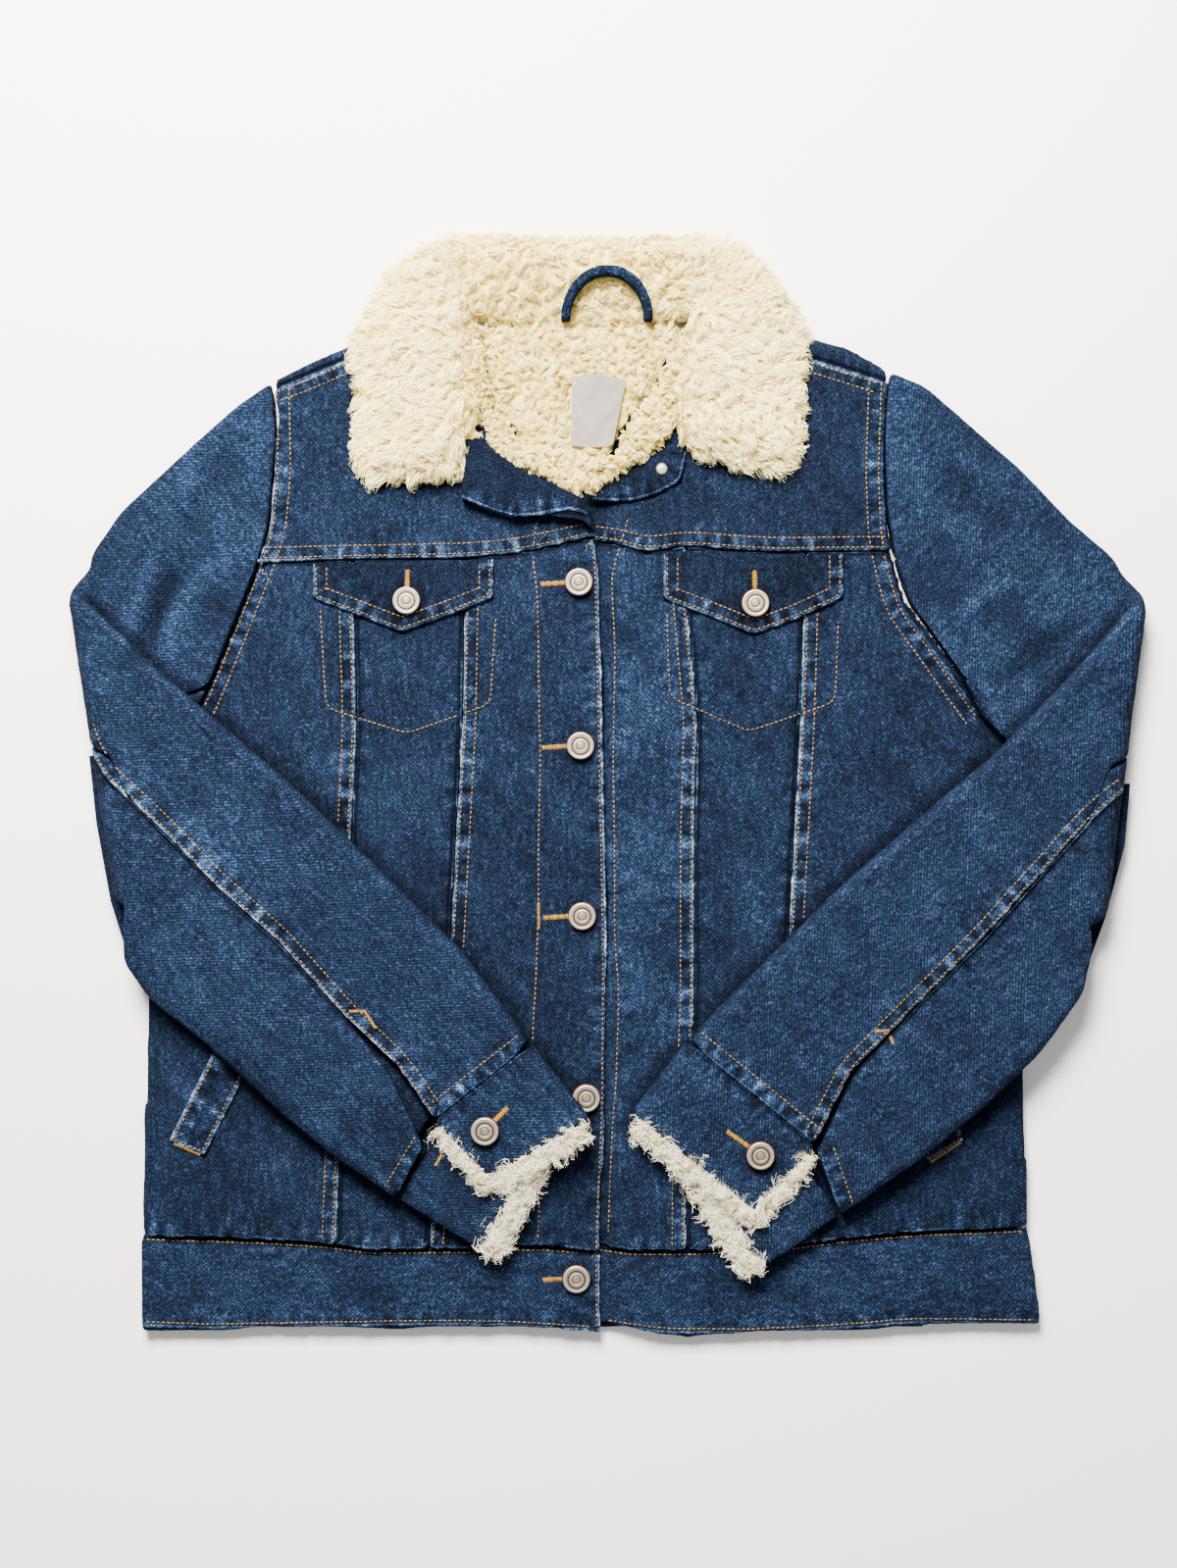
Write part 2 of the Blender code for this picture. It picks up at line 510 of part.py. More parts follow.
class Ring:
    """One ring of a sleeve. Its back layer's seam has two sides, which part where the slit opens."""

    def __init__(self, top, pit, seam_up=None, seam_low=None, bow=0.0, turn=0.0, out=(0, 0), path=None, hollow=0.0):
        self.top, self.pit, self.bow, self.turn, self.out, self.path = top, pit, bow, turn, out, path
        self.hollow = hollow
        self.width = math.dist(top, pit)
        self.seam_up = seam_up or mix(top, pit, ELBOW_SEAM)
        self.seam_low = seam_low or self.seam_up

    def across(self, share):
        """A point of the front layer, or of both layers where the ring has a path."""
        if self.path:
            return along(self.path, share)
        x, y = mix(self.top, self.pit, share)
        bulge = math.sin(math.pi * share)
        back_x, back_y = HOLLOW_WAY
        return x + (self.bow + self.out[0] * self.hollow * back_x) * bulge, y + self.hollow * back_y * bulge

    def point(self, share, z, back):
        """A point at this share of the way across, at this height in the flat tube."""
        if not back or self.path or self.bow:
            x, y = self.across(share)
        elif share <= ELBOW_SEAM:
            x, y = mix(self.top, self.seam_up, share / ELBOW_SEAM)
        else:
            x, y = mix(self.seam_low, self.pit, (share - ELBOW_SEAM) / (1 - ELBOW_SEAM))
        lever, turn = FOLD_Z - z, math.radians(self.turn)
        swing = lever * math.sin(turn)
        return x + self.out[0] * swing, y + self.out[1] * swing, FOLD_Z - lever * math.cos(turn)


def along(path, share):
    """The point this share of the way along a path."""
    lengths = [0]
    for first, second in zip(path, path[1:]):
        lengths.append(lengths[-1] + math.dist(first, second))
    distance = share * lengths[-1]
    place = min(max(bisect.bisect_right(lengths, distance), 1), len(path) - 1)
    span = lengths[place] - lengths[place - 1]
    return mix(path[place - 1], path[place], (distance - lengths[place - 1]) / span)


def spread(first, last, count):
    return [first + (last - first) * number / (count - 1) for number in range(count)]


def tube_section(width, piece):
    """Points round a flattened tube as (share, outer z, inner share, inner z, in the back layer)."""
    radius, small = TUBE / 2, SLOT / 2
    bend = radius / width
    gap = 3 * SEAM / width
    points = []
    if piece == "top":
        flat_back = spread(ELBOW_SEAM - gap, bend, 5)
        flat_front = spread(bend, FRONT_SEAM - gap, 8)
        edge, sign = bend, -1
    else:
        flat_back = spread(ELBOW_SEAM + gap, 1 - bend, 8)
        flat_front = spread(1 - bend, FRONT_SEAM + gap, 3)
        edge, sign = 1 - bend, 1
    points += [(share, 0, share, WALL, True) for share in flat_back]
    for angle in (45, 90, 135):
        turn = math.radians(angle)
        out, up = math.sin(turn), math.cos(turn)
        points.append((edge + sign * bend * out, radius - radius * up,
                       edge + sign * small / width * out, radius - small * up, angle < 90))
    points += [(share, TUBE, share, TUBE - WALL, False) for share in flat_front]
    return points


def add_sleeve(side, rings, denim):
    for piece in ("top", "under"):
        outside, inside = [], []
        for ring in rings:
            section = tube_section(ring.width, piece)
            outside.append([ring.point(share, z, back) for share, z, _, _, back in section])
            inside.append([ring.point(share, z, back) for _, _, share, z, back in section])
        wall(f"sleeve_{piece}_{side}", outside, inside, denim)


def sleeve_rings(side, edge, shoulder, upper, elbow, out, forearm):
    away = -ARMHOLE_GAP if side == "r" else ARMHOLE_GAP
    seam = YOKE_SEAM_R if side == "r" else YOKE_SEAM_L
    waist = WAIST_SEAM_R if side == "r" else WAIST_SEAM_L
    path = [(shoulder[0] + away, shoulder[1])]
    for row in sorted(YOKE_ROWS[1:] + tuple(r for r in PANEL_ROWS if r >= ARMPIT_ROW), reverse=True):
        x = value_at(edge, row)
        corner = value_at(edge, YOKE_Y)
        if row > YOKE_Y:
            low, high = value_at(seam, corner), value_at(SHOULDER_SEAM, value_at(edge, SHOULDER_Y))
            y = low + (high - low) * (row - YOKE_Y) / (SHOULDER_Y - YOKE_Y)
        else:
            low, high = value_at(waist, x), value_at(seam, x)
            y = low + (high - low) * (row - WAIST_Y) / (YOKE_Y - WAIST_Y)
        path.append((x + away, y))
    rings = [Ring(path[0], path[-1], path=path)]
    rings += [Ring((ax, ay), (bx, by), bow=bow) for ax, ay, bx, by, bow in upper]
    first, last = elbow
    rings.append(Ring(first[0:2], first[2:4], out=out))
    for turn in TURNS:
        share = turn / TURNS[-1]
        row = mix(first, last, share)
        rings.append(Ring(row[0:2], row[2:4], turn=turn, out=out))
    for row in forearm:
        hollow = CUFF_HOLLOW if row is forearm[-1] else 0.0
        rings.append(Ring(row[0:2], row[6:8], row[2:4], row[4:6], turn=180, out=out, hollow=hollow))
    return rings


def cuff_section(cuff, share):
    """The two sides of a cuff's rolled strip, at this share of the way from the seam to the wrist."""
    fold, flap, under, tail = (mix(*cuff[key], share) for key in ("fold", "flap", "under", "tail"))
    lift = cuff["lift"][0] + (cuff["lift"][1] - cuff["lift"][0]) * share
    low = 2 * FOLD_Z - TUBE
    middle = low + CUFF_WALL + CUFF_SLOT
    high = middle + CUFF_WALL + CUFF_SLOT
    big = (high + CUFF_WALL - low) / 2
    small = (middle + CUFF_WALL - low) / 2
    wide = math.dist(fold, under)

    def place(start, end, distance, z, raised=1.0):
        point = mix(start, end, distance / math.dist(start, end))
        return (*point, z + lift * raised)

    def rise(distance):
        return 1 - min(distance / wide, 1)

    outer, inner = [], []
    for part in spread(1, 0, 5):
        distance = big + (math.dist(fold, flap) - big) * part
        outer.append(place(fold, flap, distance, high + CUFF_WALL, rise(distance)))
        inner.append(place(fold, flap, distance, high, rise(distance)))
    for angle in (45, 90, 135):
        turn = math.radians(angle)
        for sheet, radius in ((outer, big), (inner, big - CUFF_WALL)):
            sheet.append(place(fold, under, big - radius * math.sin(turn), low + big + radius * math.cos(turn)))
    for part in spread(0, 1, 5):
        distance = big + (wide - small - big) * part
        outer.append(place(fold, under, distance, low, rise(distance)))
        inner.append(place(fold, under, distance, low + CUFF_WALL, rise(distance)))
    for angle in (45, 90, 135):
        turn = math.radians(angle)
        for sheet, radius in ((outer, small), (inner, small - CUFF_WALL)):
            sheet.append(place(under, fold, small - radius * math.sin(turn),
                               low + small - radius * math.cos(turn), 0))
    for part in spread(0, 1, 4):
        distance = small + (math.dist(under, tail) - small) * part
        outer.append(place(under, tail, distance, middle + CUFF_WALL, distance / wide))
        inner.append(place(under, tail, distance, middle, distance / wide))
    return outer, inner


def add_cuff(side, cuff, denim):
    sections = [cuff_section(cuff, share) for share in CUFF_RINGS]
    wall(f"cuff_{side}", [outer for outer, _ in sections], [inner for _, inner in sections], denim)


def outward(first, second, inside):
    """Unit vector square to a line, away from a point."""
    line = Vector(second) - Vector(first)
    square = Vector((line.y, -line.x)).normalized()
    return square if square.dot(Vector(first) - Vector(inside)) > 0 else -square


def add_fringes(side, cuff, sherpa):
    """The lining's raw edge, as two plain strips of its reach: on the flap and on the layer under it."""
    low = 2 * FOLD_Z - TUBE
    top_layer = low + 2 * (CUFF_WALL + CUFF_SLOT)
    (fold_in, fold), (flap_in, flap), (_, under), (_, tail) = (cuff[key] for key in
                                                               ("fold", "flap", "under", "tail"))
    beside = outward(flap_in, flap, fold)
    before = outward(flap, fold, fold_in)
    wrist_lift = cuff["lift"][1]
    wide = math.dist(fold, under)
    near_fold = mix(fold, flap, 0.09)
    stations = (
        (mix(flap_in, flap, 0.14), beside, FRINGE_SIDE),
        (mix(flap_in, flap, 0.5), beside, FRINGE_SIDE),
        (flap, (beside + before), FRINGE_SIDE),
        (mix(flap, near_fold, 0.12), before, FRINGE_WRIST),
        (mix(flap, near_fold, 0.5), before, FRINGE_WRIST),
        (near_fold, before, FRINGE_WRIST),
    )
    upper, lower = [], []
    for place, way, reach in stations:
        lift = wrist_lift * (1 - min(math.dist(place, fold) / wide, 1)) + CLEAR
        ends = [Vector(place) + way * distance for distance in (2 * SEAM, reach * 0.6, reach)]
        upper.append([(*end, top_layer + lift + FRINGE_THICK - drop) for end, drop in zip(ends, (0.2, 0, 1.5))])
        lower.append([(*end, top_layer + lift) for end in ends])
    wall(f"cuff_fringe_{side}", upper, lower, sherpa)
    before = outward(under, tail, cuff["under"][0])
    upper, lower = [], []
    for share in (0.03, 0.3, 0.6, 0.9):
        place = mix(under, tail, share)
        ends = [Vector(place) + before * distance for distance in (1, FRINGE_WRIST * 0.5, FRINGE_WRIST)]
        layer = low + CUFF_WALL + CUFF_SLOT + wrist_lift * math.dist(place, under) / wide
        upper.append([(*end, layer + 3.4 - drop) for end, drop in zip(ends, (0, 0, 1.2))])
        lower.append([(*end, layer) for end in ends])
    wall(f"cuff_fringe_low_{side}", upper, lower, sherpa)


# Pockets and hardware ---------------------------------------------------------------------------------------


def add_flap(side, bottom, seam, denim):
    upper, lower = [], []
    for share in (0, 0.5, 1):
        row = []
        for x, y in bottom:
            top = value_at(seam, x) - 1.5
            row.append((x, y + (top - y) * share))
        upper.append([(*place, ON_FRONT + FLAP_THICK) for place in row])
        lower.append([(*place, ON_FRONT) for place in row])
    wall(f"pocket_flap_{side}", upper, lower, denim)


def add_welt(side, corners, denim):
    a, b, c, d = corners
    stations = [(*mix(a, d, share), *mix(b, c, share)) for share in (0, 0.5, 1)]
    add_strip(f"welt_{side}", stations, ON_FRONT, (ON_FRONT + WELT_THICK,) * 3, denim)


def add_hardware(metal):
    on_front = FRONT_TOP + CLEAR
    for number, place in enumerate(BUTTONS_FRONT):
        turned(f"button_front_{number + 1}", BUTTON_PROFILE, place, on_front, metal)
    waist_top = WAIST_LOW + WAIST_THICK + CLEAR
    turned("button_front_5", BUTTON_PROFILE, BUTTON_WAIST, waist_top, metal)
    on_flap = ON_FRONT + FLAP_THICK + CLEAR
    turned("button_flap_r", BUTTON_PROFILE, BUTTON_FLAP_R, on_flap, metal)
    turned("button_flap_l", BUTTON_PROFILE, BUTTON_FLAP_L, on_flap, metal)
    on_cuff = 2 * FOLD_Z - TUBE + 3 * CUFF_WALL + 2 * CUFF_SLOT + CLEAR
    turned("button_cuff_r", BUTTON_PROFILE, BUTTON_CUFF_R, on_cuff + CUFF_BUTTON_LIFT, metal)
    turned("button_cuff_l", BUTTON_PROFILE, BUTTON_CUFF_L, on_cuff, metal)
    turned("button_tack", TACK_PROFILE, TACK_PLACE, LAPEL_TOP + CLEAR, metal)


def centre_pieces():
    """Puts the origin under the middle of the laid jacket."""
    corners = [vertex.co for piece in bpy.data.objects for vertex in piece.data.vertices]
    middle = [(min(c[axis] for c in corners) + max(c[axis] for c in corners)) / 2 for axis in (0, 1)]
    for piece in bpy.data.objects:
        piece.data.transform(Matrix.Translation((-middle[0], -middle[1], 0)))


def main():
    for old in list(bpy.data.objects):
        bpy.data.objects.remove(old)
    denim = material("washed denim", (0.05, 0.12, 0.26), 0.85)
    sherpa = material("cream sherpa", (0.85, 0.78, 0.6), 0.95)
    label_cloth = material("grey satin label", (0.62, 0.59, 0.58), 0.6)
    metal = material("antiqued nickel", (0.6, 0.56, 0.54), 0.35, 1.0)
    add_back(denim)
    add_fronts(denim)
    add_flap("r", FLAP_R, YOKE_SEAM_R, denim)
    add_flap("l", FLAP_L, YOKE_SEAM_L, denim)
    add_welt("r", WELT_R, denim)
    add_welt("l", WELT_L, denim)
    add_neck(denim, sherpa, label_cloth)
    add_sleeve("r", sleeve_rings("r", SIDE_R, SHOULDER_FOLD[0], UPPER_R, ELBOW_R, ELBOW_OUT_R, FOREARM_R), denim)
    add_sleeve("l", sleeve_rings("l", SIDE_L, SHOULDER_FOLD[-1], UPPER_L, ELBOW_L, ELBOW_OUT_L, FOREARM_L), denim)
    for side, cuff in (("r", CUFF_R), ("l", CUFF_L)):
        add_cuff(side, cuff, denim)
        add_fringes(side, cuff, sherpa)
    add_hardware(metal)
    centre_pieces()


main()
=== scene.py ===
"""The looks of a sherpa lined denim jacket, laid flat with both sleeves folded over its front.

The frame gives the panels. Each denim panel is remade as a fine skin with its seams, puckers and creases in the
mesh, and a washed twill on it. The sherpa is a lumpy ground with locks of curled pile on it. Sizes are in metres,
and MM turns millimetres into them. "_r" and "_l" are the wearer's right and left.
"""

import json
import math

import bmesh
import bpy
import numpy as np
from mathutils import Matrix, Vector
from mathutils.bvhtree import BVHTree

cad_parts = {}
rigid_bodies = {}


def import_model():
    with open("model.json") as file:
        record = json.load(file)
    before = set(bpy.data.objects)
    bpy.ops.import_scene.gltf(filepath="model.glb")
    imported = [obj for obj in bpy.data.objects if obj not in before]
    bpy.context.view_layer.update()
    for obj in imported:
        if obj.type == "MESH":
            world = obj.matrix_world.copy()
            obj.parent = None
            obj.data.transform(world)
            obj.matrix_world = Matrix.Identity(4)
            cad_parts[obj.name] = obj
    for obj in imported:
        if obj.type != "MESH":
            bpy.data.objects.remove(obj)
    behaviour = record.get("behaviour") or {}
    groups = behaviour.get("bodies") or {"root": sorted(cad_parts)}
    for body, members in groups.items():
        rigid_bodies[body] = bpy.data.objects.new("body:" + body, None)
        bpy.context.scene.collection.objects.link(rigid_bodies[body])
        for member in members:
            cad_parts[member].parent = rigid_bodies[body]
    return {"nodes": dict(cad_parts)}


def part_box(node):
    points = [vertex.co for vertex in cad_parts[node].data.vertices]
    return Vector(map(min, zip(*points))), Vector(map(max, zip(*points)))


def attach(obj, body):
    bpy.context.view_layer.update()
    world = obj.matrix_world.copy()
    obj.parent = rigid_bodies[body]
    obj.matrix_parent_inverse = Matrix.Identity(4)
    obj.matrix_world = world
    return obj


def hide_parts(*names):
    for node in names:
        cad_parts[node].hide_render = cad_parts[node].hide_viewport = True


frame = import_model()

for startup_object in [item for item in bpy.data.objects if item.name in ("Cube", "Light", "Camera")]:
    bpy.data.objects.remove(startup_object)
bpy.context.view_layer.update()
MM = 0.001
SEED = 7
random = np.random.default_rng(SEED)
NODES = frame["nodes"]

# Tools ------------------------------------------------------------------------------------------------------


def colour(text):
    """An sRGB hex colour as linear values."""
    parts = [int(text[start:start + 2], 16) / 255 for start in (1, 3, 5)]
    return (*(p / 12.92 if p <= 0.04045 else ((p + 0.055) / 1.055) ** 2.4 for p in parts), 1)


def add(tree, kind, links=None, **settings):
    """Adds a shader node, with its settings and the sockets or values that feed it."""
    node = tree.nodes.new(kind)
    for name, value in settings.items():
        setattr(node, name, value)
    for socket, source in (links or {}).items():
        if isinstance(source, bpy.types.NodeSocket):
            tree.links.new(source, node.inputs[socket])
        else:
            node.inputs[socket].default_value = source
    return node


def new_material(name, **shader_values):
    """A material and its shader, with plain values on the shader's own sockets."""
    material = bpy.data.materials.new(name)
    material.use_nodes = True
    tree = material.node_tree
    shader = tree.nodes["Principled BSDF"]
    for socket, value in shader_values.items():
        shader.inputs[socket.replace("_", " ")].default_value = value
    return material, tree, shader


def ramp(tree, factor, stops):
    node = add(tree, "ShaderNodeValToRGB", {"Fac": factor})
    elements = node.color_ramp.elements
    while len(elements) < len(stops):
        elements.new(0.5)
    for element, (place, value) in zip(elements, stops):
        element.position = place
        element.color = colour(value)
    return node.outputs["Color"]


def coordinates(mesh):
    points = np.empty(len(mesh.vertices) * 3)
    mesh.vertices.foreach_get("co", points)
    return points.reshape(-1, 3)


def piece_from(name, mesh, material, slot, *replaced):
    """An object that rides on the jacket with the given material, and may replace CAD nodes. slot is not used."""
    mesh.name = name
    piece = bpy.data.objects.new(name, mesh)
    bpy.context.scene.collection.objects.link(piece)
    mesh.materials.clear()
    mesh.materials.append(material)
    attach(piece, "root")
    if replaced:
        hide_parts(*replaced)
    return piece


def tree_of(objects):
    """One ray-casting tree over several objects' meshes."""
    points, faces = [], []
    for item in objects:
        start = len(points)
        points += [vertex.co for vertex in item.data.vertices]
        faces += [[start + corner for corner in face.vertices] for face in item.data.polygons]
    return BVHTree.FromPolygons(points, faces)


def smooth(value, low, high):
    share = np.clip((value - low) / (high - low), 0, 1)
    return share * share * (3 - 2 * share)


def waves(points, length, seed, octaves=3):
    """A soft uneven surface between -1 and 1, from sines in seeded directions; points are in mm."""
    turns = np.random.default_rng(seed)
    total, weight = np.zeros(len(points)), 0
    for octave in range(octaves):
        for _ in range(4):
            angle, phase = turns.uniform(0, math.tau, 2)
            reach = length / 1.9 ** octave * turns.uniform(0.75, 1.3)
            way = np.array([math.cos(angle), math.sin(angle)])
            bend = 0.9 * np.sin(points[:, :2] @ way[::-1] * math.tau / (reach * 1.7) + phase)
            total += np.sin(points[:, :2] @ way * math.tau / reach + bend + phase) / 1.6 ** octave
        weight += 2 / 1.6 ** octave
    return total / weight


# Seams, read from the frame ---------------------------------------------------------------------------------

NODE_POINTS = {name: coordinates(node.data) / MM for name, node in NODES.items()}
NODE_TREES = {name: tree_of([node]) for name, node in NODES.items()}


def shared_edge(node, others, reach=2.0, by="y"):
    """The seam between a node and its neighbours: the node's points near them, in order, in mm."""
    near = []
    for point in NODE_POINTS[node]:
        for other in others:
            found = NODE_TREES[other].find_nearest(Vector(point) * MM, reach * MM)
            if found[0] is not None:
                near.append(tuple(point[:2]))
                break
    near = sorted(set(near), key=lambda p: p[1] if by == "y" else p[0])
    return thinned(np.array(near))


def thinned(line, least=2.0):
    """A line without points that nearly coincide."""
    kept = [line[0]]
    for point in line[1:]:
        if np.hypot(*(point - kept[-1])) > least:
            kept.append(point)
    return np.array(kept)


def resampled(line, step):
    """Points every step along a line, and their distance along it."""
    spans = np.hypot(*np.diff(line, axis=0).T)
    along = np.concatenate([[0], np.cumsum(spans)])
    marks = np.arange(0, along[-1], step)
    return np.stack([np.interp(marks, along, line[:, axis]) for axis in (0, 1)], axis=1), marks


def softened(line, step=4.0, passes=6):
    """A line resampled and rounded at its corners."""
    points, _ = resampled(line, step)
    for _ in range(passes):
        points[1:-1] = (points[:-2] + 2 * points[1:-1] + points[2:]) / 4
    return points


def distances(points, line):
    """Signed distance to a line (left of its run is positive), the distance along it, and if it is beside it."""
    best = np.full(len(points), 1e9)
    signed, along = np.zeros(len(points)), np.zeros(len(points))
    beside = np.zeros(len(points), bool)
    run = 0.0
    for first, second in zip(line, line[1:]):
        span = second - first
        length = np.hypot(*span)
        offset = points[:, :2] - first
        share = (offset @ span) / length ** 2
        clipped = np.clip(share, 0, 1)
        gap = offset - clipped[:, None] * span
        far = np.hypot(gap[:, 0], gap[:, 1])
        nearer = far < best
        side = np.sign(span[0] * offset[:, 1] - span[1] * offset[:, 0])
        best[nearer] = far[nearer]
        signed[nearer] = (far * side)[nearer]
        along[nearer] = run + (clipped * length)[nearer]
        beside[nearer] = ((share > -0.02) & (share < 1.02))[nearer]
        run += length
    return signed, along, beside


class Seam:
    """A stitched seam or a finished edge. side is 1 where the upper cloth lies left of its run, -1 right of it."""

    def __init__(self, line, side, nodes, rows=(2.4, 8.6), ridge=1.0, band=1.0, pucker=0.45, step=4.0):
        self.line, self.side, self.nodes = softened(np.array(line, float), step), side, nodes
        self.rows, self.ridge, self.band, self.pucker = rows, ridge, band, pucker


BODY_R = ("side_front_r", "centre_front_r", "inner_front_r")
BODY_L = ("inner_front_l", "centre_front_l", "side_front_l")
FRONTS_R, FRONTS_L = (*BODY_R, "yoke_front_r"), (*BODY_L, "yoke_front_l")

# Lines that the panels' own edges don't give, in mm: finished edges, and seams between the layers of a sleeve.
FRONT_EDGE = ((-8.3, 150.4), (-4.8, 139.1), (-3.6, 85.6), (-2.4, 28), (-1.2, -33.1), (0, -90.7), (0, -122.2),
              (-0.6, -198.2), (-3, -246.9), (-4.2, -279.6), (-3.6, -330))
PLACKET_R = ((-41.6, 168), (-45.7, 140.9), (-42.2, 120.1), (-41.6, 85.6), (-41, 38.1), (-40.4, 17.4),
             (-41.6, -33.1), (-41.6, -74.7), (-43.4, -122.2), (-45.2, -147.8), (-43.4, -205.4), (-41, -255.2),
             (-42.2, -275.4))
PLACKET_L = ((12.5, 163.3), (7.8, 145.4), (2.4, 131.7), (3.6, 109.7), (4.8, 84.1), (4.2, 51.9), (3.6, 20.4),
             (4.5, -35), (4.5, -91), (7.2, -122.5), (5.4, -179.7), (3.3, -203.5), (1.8, -235.7), (0.6, -272.6))
POCKET_R = ((-173.4, 108.2), (-171.7, 73.8), (-169.9, 48.8), (-121.2, 33.4), (-70.7, 51.2), (-68.9, 82.7),
            (-67.1, 106))
POCKET_L = ((36.2, 106), (36.8, 82.7), (38, 55.4), (85.5, 34.6), (137.8, 52.4), (139, 82.7), (140.1, 106.4))
ARMHOLE_R = ((-203, 243), (-202, 194), (-205, 157), (-211, 139), (-222, 112), (-242, 62), (-255, 34))
ARMHOLE_L = ((169, 246), (167, 194), (168.5, 157), (171, 140), (178.6, 111), (195.6, 88), (213.6, 62), (228, 43))
HEM_R = ((-283, -327), (-237.9, -328.5), (-190.2, -327.5), (-130.6, -326.5), (-82.9, -326), (-35.2, -328),
         (-4.1, -330.6))
HEM_L = ((0, -326.5), (36.4, -331), (84.1, -331.5), (137.8, -329), (185.5, -325), (227.3, -325.5), (263, -326))
SHOULDER_R = ((-201, 242), (-178, 251), (-153, 262))
SHOULDER_L = ((121, 261), (147, 253), (169, 246))
SLEEVE_R = ((-315.7, 36.5), (-309.3, 19.2), (-298, 4), (-286.6, -5.1), (-262.1, -29.1), (-234.1, -58.1),
            (-197.1, -91.1), (-156.1, -137.1), (-126.1, -165.1), (-103.6, -198.1))
SLEEVE_L = ((318, 3), (303, -6), (287.9, -20.1), (258.9, -52.1), (226.9, -88.1), (183.9, -131.1), (145.9, -169.1),
            (124.2, -212.7))
CUFF_SEAM_R = ((-45, -152.9), (-103.4, -198.5))
CUFF_SEAM_LOW_R = ((-105, -210), (-127.1, -246.4))
CUFF_SEAM_L = ((47.5, -150.8), (124, -213.2))
CUFF_SEAM_LOW_L = ((125.9, -217.1), (139.5, -256.6))
FLAP_R = ((-178.1, 137), (-178.1, 114.9), (-150.1, 104.4), (-124.1, 94.4), (-96.1, 104.4), (-68.6, 115.4),
          (-68.6, 137))
FLAP_L = ((33.9, 140), (33.9, 114.4), (61.9, 103.9), (88.9, 92.9), (115.9, 102.9), (142.9, 115.4), (142.9, 142))
WELT_R = ((-265.1, -212.6), (-243.6, -222.6), (-185.6, -106.6), (-207.1, -96.6))
WELT_L = ((193.9, -225.6), (216.4, -212.6), (158.4, -96.6), (135.9, -109.6))
LAPEL_LOW_R = ((-87.1, 175), (-71, 167.4), (-57, 163.4), (-41, 164.4), (-23, 168.4), (-13, 165.4))
LAPEL_LOW_L = ((48, 202), (45, 186), (29, 177.4), (13, 173.3), (-10, 173.9))


